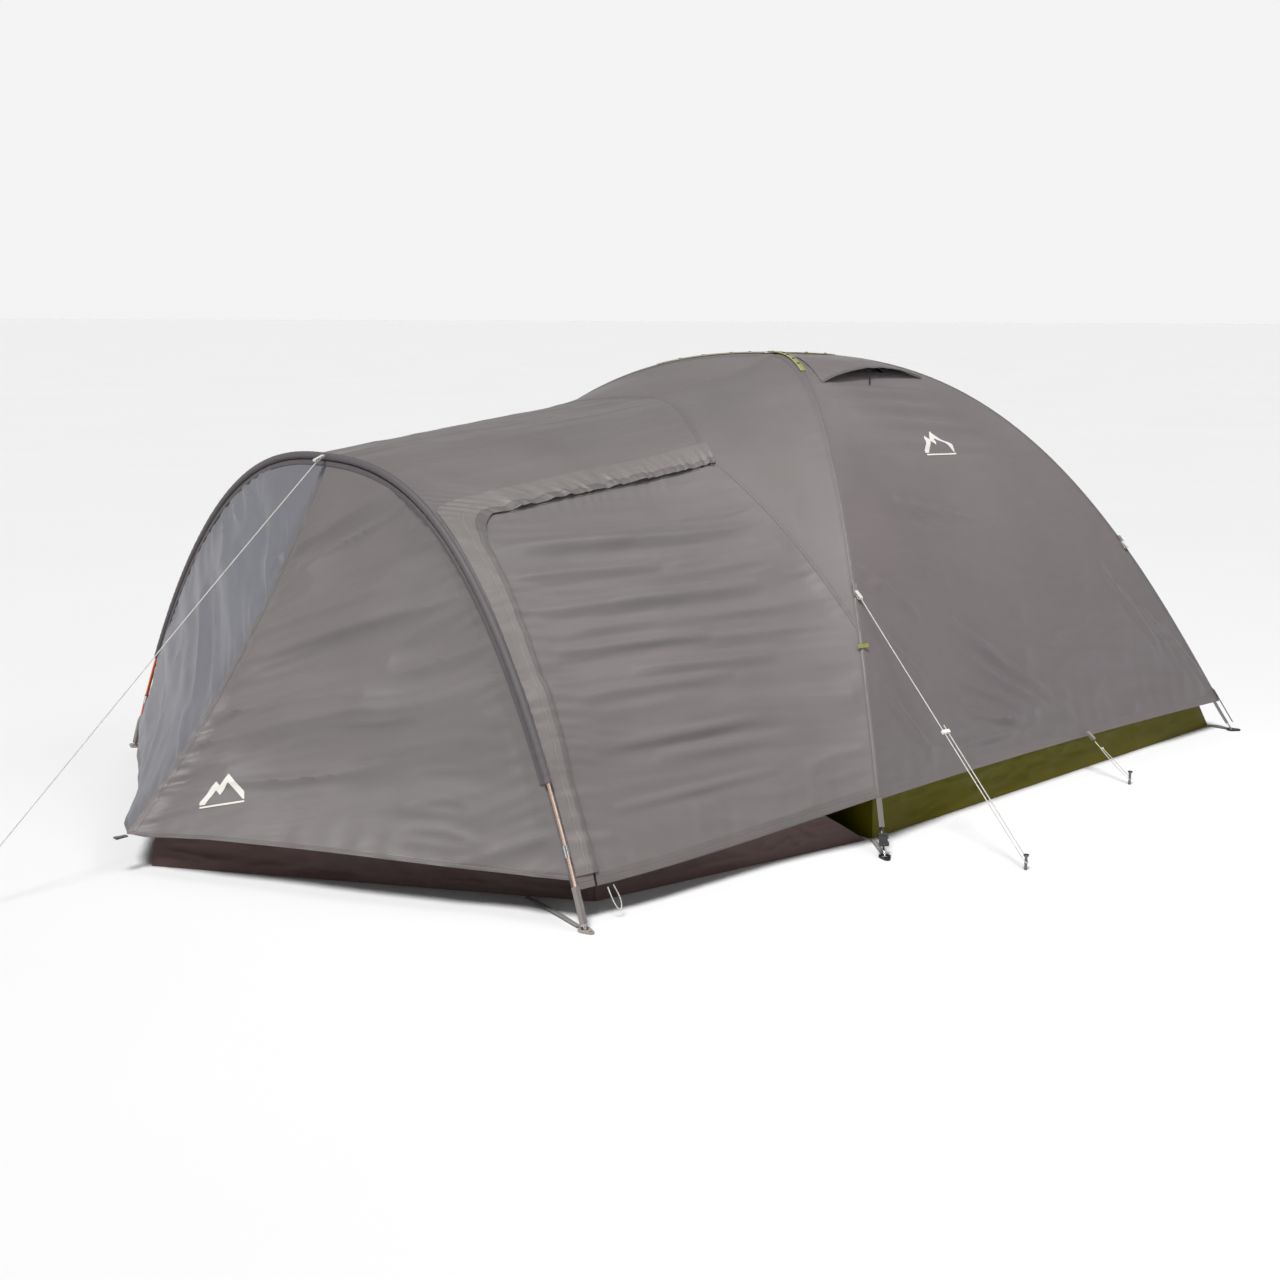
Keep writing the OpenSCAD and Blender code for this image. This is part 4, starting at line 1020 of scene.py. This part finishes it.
def sleeve_rings(t, tail, radius=0.0092):
    """Round the hoop pole, then forward along the nose in a flat stitched tail."""
    near = (t < 0)[:, None]
    w = np.maximum((np.abs(t) / NOSE_END) ** (1 / 0.6), 0.03)
    centre, root = hoop_pt(t, 0), hoop_pt(t, SLEEVE_IN)
    inner, outer = (np.where(near, nose_pt(w, s, -1), nose_pt(w, s, 1)) for s in (0.9, 1.0 + 0 * w))
    ahead = inner - outer
    ahead[:, 1] *= ramp(np.abs(t), 0.0, 0.12)
    along = unit(np.gradient(centre, axis=0))
    ahead = unit(ahead - along * (ahead * along).sum(-1, keepdims=True))
    out = unit(centre - root)
    out = unit(out - ahead * (out * ahead).sum(-1, keepdims=True))
    s = arc(t)
    gather = 0.0008 * np.sin(s / 0.013 * math.tau / 2 + 2 * noise(s / 0.05, 0 * s, 5))
    r = radius + gather * 0.5
    rows = []
    # Angle 0 points inward and 90 ahead, so the loop runs over the outside of the pole.
    for k in np.radians((60, 85, 110, 140, 170, 200, 230, 260, 290, 320, 345)):
        rows.append(centre - out * (r * math.cos(k))[:, None] + ahead * (r * math.sin(k))[:, None])
    for share, high in ((0.25, -0.0003), (0.6, -0.0002), (1.0, 0.0001), (1.0, 0.0016),
                        (0.7, 0.0026), (0.4, 0.0036), (0.2, 0.0048)):
        lift = high + gather * (0.2 < share < 1) + 0.0008
        rows.append(root + ahead * tail * share + out * lift[:, None])
    return np.stack(rows, 1)


sweep("hoop_sleeve", sleeve_rings(0.862 * swing(np.linspace(-1, 1, 260)), 0.010), "sleeve")
for tag, sy in (("near", -1), ("far", 1)):
    sweep("hoop_pocket_" + tag, tube_rings(hoop_pt(sy * np.linspace(0.962, 0.994, 9), 0), 0.0092),
          "grey_tape")

# -------- storm flap and zips

FLAP_BACK = DOOR_REAR - 0.006
s = np.linspace(0, 1, 60)
rise = mix(0.955, DOOR_TOP + 0.01, swing(s))
front_edge = np.stack([door_u(rise) + 0.010, rise], -1)
front_root = np.stack([mix(0.018, 0.03, 0.52 * s),
                       mix(0.955, DOOR_TOP - FLAP_W * 0.7, swing(s))], -1)
top_edge = np.stack([mix(0.13, FLAP_BACK, s), DOOR_TOP + 0.015 + 0 * s], -1)
top_root = np.stack([mix(0.075, FLAP_BACK, s), DOOR_TOP - FLAP_W + 0 * s], -1)
edge_line, root_line = (spaced(rounded(spaced(np.concatenate(parts), 90), 2), 420)
                        for parts in ((front_edge, top_edge), (front_root, top_root)))
k = np.linspace(0, 1, 13)
shares = root_line[None] + (edge_line - root_line)[None] * k[:, None, None]
along = np.linspace(0, 1.45, 420)[None] + 0 * k[:, None]
across = k[:, None] + 0 * along
top_run = ramp(along, 0.70, 0.80)
crimps = noise(along / 0.026 + across * 0.9, across * 0.7, 7) + 0.6 * noise(
    along / 0.013 - across, across, 9)
lift = 0.0022 + 0.0075 * np.sin(np.pi * 0.60 * across) * (0.40 + 0.60 * top_run)
lift = lift + (0.0030 * top_run + 0.0014) * crimps * (0.25 + 0.75 * across)
grid = PORCH.at(shares[..., 0], -shares[..., 1], lift)
sheet("storm_flap", grid, "flap", "hung", ["porch_roof"])
rows = np.stack([mix(edge_line, root_line, q) for q in (0.0, 0.08, 0.16, 0.24)])
grid = PORCH.at(rows[..., 0], -rows[..., 1], np.array([0.0, 0.0012, 0.0013, 0.0006])[:, None]
                + mix(lift[-1], lift[-3], 0.4)[None])
shell("flap_hem", grid, "hem", thick=HEM_THICK)

for name, lo, hi, u1, crossing in (
        ("door_zip_tape", DOOR_TOP + 0.0045, DOOR_TOP + 0.018, 0.655, DOOR_BEND),
        ("fly_zip_tape", DOOR_TOP - 0.018, DOOR_TOP - 0.0005, 0.665, None)):
    u = np.linspace(0.165, u1, 140)
    grid = np.stack([PORCH.at(u, -q + 0 * u, 0.0016) for q in np.linspace(lo, hi, 5)], 0)
    shell(name, grid, "zip", crossing=crossing)
u = np.linspace(0.20, 0.67, 700)
coil = PORCH.at(u, -DOOR_TOP - 0.0022 + 0 * u, 0.0022)
sweep("zip_coil", tube_rings(coil, 0.0015 + 0.0007 * np.sin(np.arange(700) * 1.9), 8), "zip_teeth")

# -------- vent


HOOD_TOP, HOOD_LIP = 0.13, 0.33


def hood_pt(a, b):
    bow = 0.004 + 0.038 * np.sin(np.pi * np.clip(a, 0, 1)) ** 0.8 * np.clip(b, 0, 1) ** 1.3
    return near_pt(mix(0.1, 0.9, a), mix(HOOD_TOP, HOOD_LIP, b)) + xyz(0 * a, 0 * a, bow)


def hood_relief(a, b, p):
    x, y = p[..., 0] - X_APEX, arc(mix(HOOD_TOP, HOOD_LIP, b))
    out = 0.0018 * folds(y, x, 0.2, 0.05, 111, 0.5) * ramp(a, 0.02, 0.15) * ramp(a, 0.98, 0.85)
    return out * ramp(b, 0.0, 0.2) + 0.0008 * pucker(x, (1 - b) * 0.2, 0.03, 0.012, 113)


HOOD = Cloth(hood_pt, hood_relief, (0.5, 0.5))
for name, a0, start, end in (("vent_hood", 0.0, 0.06, 0.36), ("vent_hood_rear", 1.0, 0.94, 0.64)):
    ends = [hood_pt(np.array(q), np.array(0.5)) for q in (start, end)]
    ends[1][1:] = ends[0][1:]
    crossing = ("tent", "vent_hood", *ends)
    a, b = spread_over(70, 40, lambda i, j: (mix(a0, 0.5, i), j))
    sheet(name, HOOD.at(a, b), "dome", "stretched", ["fly_side_near"], stands_for="vent_hood",
          crossing=crossing)
    lip = np.stack([HOOD.at(a[:, 0], 1 - off / 0.2 + 0 * a[:, 0], h) for off, h in (
        (0.0, 0.0), (0.0, 0.0012), (0.005, 0.0014), (0.010, 0.0006))], 0)
    shell(name + "_lip", lip, "hem", thick=HEM_THICK, crossing=crossing)

a, b = spread_over(60, 40, lambda i, j: (mix(-0.125, 0.125, i), mix(0.185, 0.315, j)))
grid = side_pt(0.5 + a / (DOME_LEN * b), -b, 0.004)
grid = grid + xyz(0 * a, 0 * a, 0.0012 * noise(a / 0.04, b / 0.02, 3))
sheet("vent_mesh", grid, "net", "stretched", ["fly_side_near"], thick=NET_THICK)

# -------- trim: webbing, tags, tabs

for sx, sy, tag in CORNERS:
    t = np.linspace(0.006, 0.26 if sx < 0 else 0.12, 60)
    path = dome_pt(sy * t, sx, FLY_OUT + 0.0035)
    side = unit(np.array([sy * DOME_WID, -sx * DOME_LEN, 0])) * (1 if sx * sy < 0 else -1)
    shell("apex_webbing_" + tag, strap_grid(path, -sx * side, 0.016, 7, -0.0006), "olive_tape",
          thick=0.0014, stands_for="apex_webbing")
    for n, q in enumerate((0.06, 0.10, 0.16, 0.21)[:4 if sx < 0 else 2]):
        ahead = unit(dome_pt(sy * (q + 0.01), sx, 0.016) - dome_pt(sy * (q - 0.01), sx, 0.016))
        k = np.linspace(0, math.tau, 28)
        ring = dome_pt(sy * q, sx, FLY_OUT + 0.0050) + 0.0038 * (
            np.cos(k)[:, None] * ahead + np.sin(k)[:, None] * side)
        sweep("eyelet_%s_%d" % (tag, n), tube_rings(ring, 0.0011, 8), "zip_teeth",
              slot="black_plastic")

PATCH_R = 0.018
k = np.linspace(0, math.tau, 40)
disc = np.stack([xyz(X_APEX + q * PATCH_R * np.cos(k), q * PATCH_R * np.sin(k),
                     HEAD_H + FLY_OUT + 0.0055 - 0.0015 * q ** 4)
                 for q in np.linspace(0.02, 1, 8)], 1)
shell("apex_patch", disc[:-1], "olive_tape", thick=0.0015, wrap=True)


def tape_loop(name, root, out, side, length, width, material, gap=0.0035, **where):
    """A sewn tab: tape that runs out, turns round a small bend and comes back."""
    root, out, side = np.asarray(root, float), unit(out), unit(side)
    face = unit(np.cross(out, side))
    legs = [[root + out * length * q + sign * face * gap * (0.25 + 0.75 * q)
             for q in np.linspace(0, 0.85, 8)] for sign in (1, -1)]
    bend = [root + out * (length * 0.85 + gap * 1.4 * np.cos(q)) - face * gap * np.sin(q)
            for q in np.linspace(-np.pi / 2, np.pi / 2, 12)]
    path = spaced(rounded(legs[0] + bend + legs[1][::-1], 1), 48)
    shell(name, strap_grid(path, side, width, 5, 0.0), material, thick=0.0010, **where)


for sx, sy, tag in CORNERS:
    p = dome_pt(sy * 0.733, sx, FLY_OUT + 0.002)
    d = unit(dome_pt(sy * 0.74, sx, 0.012) - dome_pt(sy * 0.726, sx, 0.012))
    tape_loop("guy_tab_" + tag, p, [0, sy, -1], [1, 0, 0], 0.030, 0.013, "white_tape",
              stands_for="guy_tabs")
    patch = [p + d * q + unit([0, sy, 0.3]) * 0.002 for q in np.linspace(-0.018, 0.018, 9)]
    shell("guy_tab_patch_" + tag, strap_grid(patch, [1, 0, 0], 0.016), "grey_tape", thick=0.0012)
    if sx < 0:
        q = np.linspace(-1, 1, 22)
        path = dome_pt(sy * 0.797, -1, FLY_OUT + 0.004) + np.outer(q, [0.017, sy * 0.003, 0.0])
        path = path + np.outer(0.0035 * np.abs(q) ** 1.5 + 0.001, unit([0.0, sy, 0.35]))
        shell("pole_tag" + tag[5:], strap_grid(path, [0, sy * 0.3, -1], 0.010, 5, 0.0),
              "olive_tape", thick=0.0016, stands_for="pole_tags")
tape_loop("guy_tab_hoop", hoop_pt(0.0, 0) + [-0.012, 0, 0.004], [-1, 0, -0.5], [0, 1, 0], 0.030,
          0.013, "white_tape", stands_for="guy_tabs")
tape_loop("hem_tab", [0.817, -1.099, 0.122], [0, -0.75, -0.6], [1, 0, 0], 0.030, 0.013,
          "grey_tape")
tape_loop("nose_tab", [X_NOSE - 0.001, 0, 0.0885], [-X_END, 0, -0.010], [0, 1, 0], 0.033, 0.015,
          "dark_tape", gap=0.002)
knot("side_guyline_knot", [0.0425, -0.880, 0.574], 0.0045)
knot("front_guyline_head_knot", [-1.0125, 0, 0.9315], 0.0045)

# -------- marks printed on the cloth


def share_steps(cloth, a, b, right):
    """Share steps for one metre along right and for one metre up the surface, at (a, b)."""
    h, a, b = 1e-3, np.array([a]), np.array([b])
    p = cloth.base(a, b)
    da, db = (cloth.base(a + h, b) - p)[0] / h, (cloth.base(a, b + h) - p)[0] / h
    n = unit(np.cross(da, db))
    right = unit(right - n * (right @ n))
    up = np.cross(n, right)
    up = up if up[2] > 0 else -up
    return [np.linalg.lstsq(np.stack([da, db], 1), d, rcond=None)[0] for d in (right, up)]


def printed(name, cloth, centre, right, size):
    """A plain two-peak mark, size from its middle to its edge, laid out along right."""
    right, up = share_steps(cloth, *centre, np.array(right))
    x = np.linspace(-1, 1, 61)
    peaks = np.maximum(0.62 - 1.25 * np.abs(x + 0.30), 0.86 - 1.25 * np.abs(x - 0.28))
    inner = np.maximum(peaks - 0.40, -0.42)
    bands = ((np.maximum(inner, -0.36), np.maximum(peaks, -0.30)),
             (-0.50 + 0 * x, -0.42 + 0 * x))
    for n, (low, high) in enumerate(bands):
        y = mix(low[:, None], high[:, None], np.linspace(0, 1, 9)[None])
        xx = x[:, None] + 0 * y
        a, b = (c + size * (xx * r + y * u) for c, r, u in zip(centre, right, up))
        shell("%s_%d" % (name, n), cloth.at(a, b, 0.0017), "ink", thick=0.0003)


printed("mark_side", SIDE_NEAR, (0.512, 0.531), [1.0, -0.05, 0], 0.068)
printed("mark_nose", NOSE_NEAR, (0.879, 0.174), [0.8, -0.6, 0.0], 0.056)

# -------- floors and their straps

SLEEP_X, SLEEP_Y = (X_FRONT + 0.086, X_REAR - 0.010), (DOME_WID / 2 - 0.108, DOME_WID / 2 - 0.077)
PORCH_CORNER = (X_HOOP + 0.134, HOOP_WID / 2 - 0.116)
PORCH_BACK = (X_FRONT + 0.068, DOME_WID / 2 - 0.115)
PORCH_TIP = X_NOSE + 0.056


def box_outline(x, y):
    return np.array([[x[0], -y[0]], [x[1], -y[1]], [x[1], y[1]], [x[0], y[0]]])


def inward(p, q):
    return unit(np.array([p[1] - q[1], q[0] - p[0]]))


def inset(o, i, d):
    """Corner i of an outline, moved inward by d from both of its edges."""
    m, k = inward(o[i - 1], o[i]), inward(o[i], o[(i + 1) % len(o)])
    return o[i] + (m + k) * d / (1 + m @ k)


TUB_LEAN = 0.018
sleep_low = box_outline(SLEEP_X, SLEEP_Y)
sleep_high = box_outline((SLEEP_X[0] + TUB_LEAN, SLEEP_X[1] - 0.084),
                         (SLEEP_Y[0] - TUB_LEAN, SLEEP_Y[1] - TUB_LEAN))
porch_low = np.array([[PORCH_TIP, 0]] + [[c[0], side * c[1]] for c, side in (
    (PORCH_CORNER, -1), (PORCH_BACK, -1), (PORCH_BACK, 1), (PORCH_CORNER, 1))])
porch_high = np.array([porch_low[i] + [-0.150, TUB_LEAN if i == 2 else -TUB_LEAN] if i in (2, 3)
                       else inset(porch_low, i, TUB_LEAN) for i in range(5)])


def wall(low, high, i, height, seed):
    """A grid for the tub wall on edge i, bellied and wrinkled, from floor to binding."""
    j = (i + 1) % len(low)
    length = np.linalg.norm(low[j] - low[i])
    k, q = np.meshgrid(np.linspace(0.0005, 0.9995, max(12, int(length / 0.012))),
                       np.linspace(0, 1, 26), indexing="ij")
    g = between(between(low[i], low[j], k), between(high[i], high[j], k), q)
    s, z = k * length, q * height
    mask = ramp(q, 0.0, 0.25) * ramp(k, 0, 0.03) * ramp(k, 1, 0.97)
    out = mask * (0.0045 * noise(s / 0.21, z / 0.12 + 0.3 * s, seed)
                  + 0.0028 * folds(z, s + 0.4 * z, 0.10, 0.055, seed + 3, 0.6)
                  + 0.0022 * folds(s, z, 0.16, 0.035, seed + 9, 0.6))
    out = out - 0.004 * np.sin(np.pi * q) * ramp(k, 0, 0.1) * ramp(k, 1, 0.9)
    top = height - 0.006 * np.sin(np.pi * k) * ramp(q, 0.6, 1) - 0.003 * (
        0.5 + 0.5 * noise(s / 0.13, 0 * s, seed + 21)) * ramp(q, 0.5, 1)
    g = g - inward(low[i], low[j]) * out[..., None]
    return np.concatenate([g, (0.0016 + (top - 0.0016) * q)[..., None]], -1)


def ground_sheet(name, outline, material, seed, nose_gap=0.0):
    """The floor of a tub: flat on the ground, with slack ripples that stay within a centimetre."""
    lo, hi = outline.min(0), outline.max(0)
    x, k = np.meshgrid(np.linspace(0, 1, 130), np.linspace(-1, 1, 110), indexing="ij")
    x = mix(lo[0] + nose_gap, hi[0], x)
    y = k * np.interp(x, *zip(*sorted((p[0], abs(p[1])) for p in outline if p[1] <= 0)))
    edge = ramp(np.abs(k), 1, 0.93) * ramp(x, lo[0], lo[0] + 0.05) * ramp(x, hi[0], hi[0] - 0.05)
    z = 0.0012 + edge * (0.0026 * (1 + folds(x + 0.3 * y, y - 0.2 * x, 0.5, 0.16, seed, 0.5))
                         + 0.0010 * (1 + folds(y, x, 0.3, 0.07, seed + 2, 0.7)))
    sheet(name, np.stack([x, y, z], -1), material, "laid", [])


def floor_wall(name, low, high, i, height, material, binding, seed, stands_for):
    grid = wall(low, high, i, height, seed)
    sheet(name, grid, material, "hung", [], stands_for=stands_for)
    rows = np.stack([between(grid[:, -1], grid[:, -3], q) for q in (0.0, 0.0, 0.5, 1.0)], 0)
    n = unit(np.cross(UP, np.append(low[(i + 1) % len(low)] - low[i], 0))) * -1
    rows = rows + np.array([0.0, 0.0012, 0.0014, 0.0007])[:, None, None] * n
    shell(name + "_binding", rows, binding, thick=SEAM_THICK, slot=SLOT_OF[material])


M["olive_bind"] = fabric("olive binding", srgb(98, 97, 28), ripstop=None, stitches=(0.002,),
                         thread=srgb(150, 148, 70))
ground_sheet("sleeping_floor", sleep_low, "olive", 121)
for i, tag in enumerate(("near", "rear", "far", "front")):
    floor_wall("sleeping_wall_" + tag, sleep_low, sleep_high, i, TUB_H, "olive", "olive_bind",
               131 + 10 * i, "sleeping_floor")
ground_sheet("porch_floor", porch_low, "brown", 123, nose_gap=0.004)
for i, tag in ((0, "nose_near"), (1, "near"), (3, "far"), (4, "nose_far")):
    floor_wall("porch_floor_wall_" + tag, porch_low, porch_high, i, PORCH_TUB_H, "brown",
               "dark_tape", 171 + 10 * i, "porch_floor")

# Straps from the floors' corners to the poles' feet, each as corner, foot and gap at the corner.
straps = [(c, [X_FRONT if c[0] < X_APEX else X_REAR, np.sign(c[1]) * DOME_WID / 2], 0.003)
          for c in sleep_low]
straps += [(mix(porch_low[i], porch_low[0], 0.155), [X_HOOP, sy * (HOOP_WID / 2 - 0.008)], 0.014)
           for i, sy in ((1, -1), (4, 1))]
k = np.linspace(0, 1, 24)
sag = np.sin(np.pi * k)
for n, (corner, foot, gap) in enumerate(straps):
    a, b = np.append(corner, 0.0022), np.append(foot, 0.0034)
    d = unit(b - a)
    path = between(a + d * gap, b - d * 0.017, k) + np.outer(0.0022 * sag, UP)
    side = unit(np.cross(UP, d)) * np.cos(0.25 * sag)[:, None] + UP * np.sin(0.25 * sag)[:, None]
    shell("floor_strap_%d" % n, strap_grid(path, side, 0.011), "grey_tape", thick=0.0012,
          stands_for="floor_straps")
for sx, sy, tag in CORNERS:
    buckled = tag == "front_near"
    ends = dome_pt(sy * np.array([0.942, 0.968 if buckled else 0.9865]), sx, 0.014)
    side = unit(np.cross(unit(ends[1] - ends[0]), unit([sx, sy, 0.3])))
    shell("fly_strap_" + tag, strap_grid(between(*ends, np.linspace(0, 1, 16)), side, 0.013),
          "grey_tape", thick=0.0013, stands_for="fly_straps",
          crossing=("tent", "buckle_clip", *ends) if buckled else None)

# -------- inner tent

inner_foot = dome_t_at(TUB_H + 0.008, INNER_IN)


def inner_t(b):
    return mix(0.035, inner_foot, swing(b))


def inner_folds(seed):
    def relief(a, b, p):
        edge = ramp(a, 0, 0.06) * ramp(a, 1, 0.94)
        return edge * 0.003 * folds(p[..., 2], a * 1.6, 0.5, 0.12, seed, 0.3)
    return relief


for name, base, seed, poles in (
        ("inner_side_near", lambda a, b: side_pt(a, -inner_t(b), INNER_IN), 201, POLES[:2]),
        ("inner_side_far", lambda a, b: side_pt(a, inner_t(b), INNER_IN), 211, POLES[2:]),
        ("inner_rear", lambda a, b: end_pt(a, inner_t(b), 1, INNER_IN), 221, POLES[1::2])):
    a, b = spread_over(70, 60, lambda i, j: (mix(0.006, 0.994, i), j))
    sheet(name, Cloth(base, inner_folds(seed)).at(a, b), "net", "stretched", poles,
          thick=NET_THICK)

# The front poles' inner line from foot to top, as rows for interpolation by height.
FRONT_X, FRONT_Y, FRONT_Z = dome_pt(inner_t(np.linspace(0.0, 1, 300)), -1, INNER_IN)[::-1].T
DOOR_HALF, DOOR_LOW, DOOR_HIGH, DOOR_R = 0.352, 0.168, 0.792, 0.120


def front_at(y, z, off=0.0):
    """The inner tent's front wall at (y, z), moved forward by off."""
    return xyz(np.interp(z, FRONT_Z, FRONT_X) - off, y, z)


def door_outline(grow, count=220):
    """A rounded doorway outline (y, z), grown by grow, with its points at even steps."""
    r = DOOR_R + grow
    y0, z0, z1 = DOOR_HALF + grow - r, DOOR_LOW - grow + r, DOOR_HIGH + grow - r
    corners = ((y0, z1, 0), (-y0, z1, 90), (-y0, z0, 180), (y0, z0, 270))
    pts = [(y + r * math.cos(math.radians(k + d)), z + r * math.sin(math.radians(k + d)))
           for y, z, k in corners for d in range(0, 91, 6)]
    return spaced(pts + pts[:1], count + 1)[:-1]


def outer_edge(outline):
    """The wall's own edge, reached from the doorway's middle through each outline point."""
    mid = np.array([0.0, 0.42])
    d = unit(outline - mid)
    low, high = np.zeros(len(d)), np.full(len(d), 2.0)
    for _ in range(30):
        k = (low + high) / 2
        y, z = (mid + d * k[:, None]).T
        ok = (np.abs(y) < np.interp(z, FRONT_Z, FRONT_Y) * 0.988) & (z > FRONT_Z[0]) & (
            z < FRONT_Z[-1])
        low, high = np.where(ok, k, low), np.where(ok, high, k)
    return mid + d * low[:, None]


inner = door_outline(0.008)
flat = between(inner[:, None], outer_edge(inner)[:, None], np.linspace(0, 1, 26)[None])
grid = front_at(flat[..., 0], flat[..., 1])
deep, wide, high = np.ptp(grid.reshape(-1, 3), axis=0)
sheet("inner_front", grid, "net", "stretched", POLES[::2], flat=(wide, math.hypot(deep, high)),
      thick=NET_THICK, wrap=True)
rim = [door_outline(g) for g in (0.010, 0.014, 0.018, 0.022)]
shell("inner_door_zip", np.stack([front_at(o[:, 0], o[:, 1], 0.0035) for o in rim], 1), "zip",
      wrap=True)
z, k = np.meshgrid(np.linspace(DOOR_LOW, DOOR_HIGH, 70), np.linspace(-1, 1, 70), indexing="ij")
up_off = np.clip(DOOR_R - np.minimum(z - DOOR_LOW, DOOR_HIGH - z), 0, DOOR_R)
half = DOOR_HALF - DOOR_R + np.sqrt(np.maximum(DOOR_R ** 2 - up_off ** 2, 1e-7))
grid = front_at(k * half, z) + xyz(0.0018 * noise(k * 3, z * 9, 8) * (1 - k * k), 0, 0)
sheet("inner_door", grid, "net", "hung", ["inner_front"], thick=NET_THICK, body="inner_door")

# -------- finishes on the CAD parts

M["tab"] = webbing("taupe webbing", srgb(150, 140, 130), width=0.03)
M["pale_plastic"] = plastic("pale plastic", srgb(222, 220, 214), 0.4)
FINISH = {
    "pole": POLES,
    "copper": HOOP,
    "bright": ["dome_ferrules", "hoop_ferrules", "pole_tips", "zip_slider"],
    "stake": ["front_stake", "side_stake", "hem_stake"],
    "black": ["apex_hub", "buckle_socket", "buckle_clip", "pole_clips", "vent_prop"]
             + ["foot_" + tag for _, _, tag in CORNERS],
    "tab": ["foot_hoop_near", "foot_hoop_far"],
    "pale_plastic": ["line_tensioner"],
}
for finish, nodes in FINISH.items():
    for node in nodes:
        obj = NODES[node]
        if not obj.material_slots:
            obj.data.materials.append(None)
        for socket in obj.material_slots:
            socket.material = M[finish]

# -------- light and floor


def plain(name, colour, rough):
    g = Graph(name, Roughness=rough)
    return g.finish(g.mix(g.spread(g.noise(g.object, 0.6, 2.0), 0.3, 0.7), colour,
                          darker(colour, 0.985)))


FLOOR_HALF, FLOOR_Z = 400.0, -0.0006
M["stage"] = plain("studio floor", (0.73, 0.73, 0.735, 1.0), 0.9)
ground = bpy.data.meshes.new("studio_floor")
ground.from_pydata([(x * FLOOR_HALF, y * FLOOR_HALF, FLOOR_Z)
                    for x, y in ((-1, -1), (1, -1), (1, 1), (-1, 1))], [], [(0, 1, 2, 3)])
stage = bpy.data.objects.new("studio_floor", ground)
stage.data.materials.append(M["stage"])
bpy.context.scene.collection.objects.link(stage)


def light(name, kind, towards, colour=(1, 1, 1), location=(0, 0, 0), **settings):
    """A lamp that shines along towards; energy is in W for an area lamp, W/m2 for a sun."""
    lamp = bpy.data.lights.new(name, kind)
    lamp.color = colour
    for key, value in settings.items():
        setattr(lamp, key, value)
    obj = bpy.data.objects.new(name, lamp)
    obj.location = location
    obj.rotation_euler = towards.to_track_quat("-Z", "Y").to_euler()
    bpy.context.scene.collection.objects.link(obj)


def soft_light(name, location, target, size, power, colour):
    light(name, "AREA", Vector(target) - Vector(location), colour, location, shape="DISK",
          size=size, energy=power)


light("sky_key", "SUN", Vector((0.48, 0.20, -1.0)), energy=3.8, angle=math.radians(18))
soft_light("side", (-1.0, -6.5, 3.2), (0.3, 0, 0.5), 3.0, 40, (1.0, 0.97, 0.98))
soft_light("top", (0.0, -1.9, 3.0), (0.0, -0.4, 0.8), 1.2, 20, (1.0, 0.98, 0.99))
# A bright sky that dims above the horizon band, by the height of the direction looked in.
HORIZON_LOW, HORIZON_HIGH, SKY_LOW, SKY_HIGH = 0.17, 0.23, 0.90, 0.13
world = bpy.data.worlds.new("studio")
world.use_nodes = True
tree = world.node_tree
sky = tree.nodes["Background"]
sky.inputs[0].default_value = (1.0, 1.0, 1.0, 1.0)
facing, height, dim = (tree.nodes.new("ShaderNode" + kind)
                       for kind in ("TexCoord", "SeparateXYZ", "MapRange"))
for source, socket in ((facing.outputs["Generated"], height.inputs[0]),
                       (height.outputs[2], dim.inputs[0]), (dim.outputs[0], sky.inputs[1])):
    tree.links.new(source, socket)
for socket, value in zip(dim.inputs[1:], (HORIZON_LOW, HORIZON_HIGH, SKY_LOW, SKY_HIGH)):
    socket.default_value = value
bpy.context.scene.world = world
bpy.context.scene.view_settings.view_transform = "Standard"
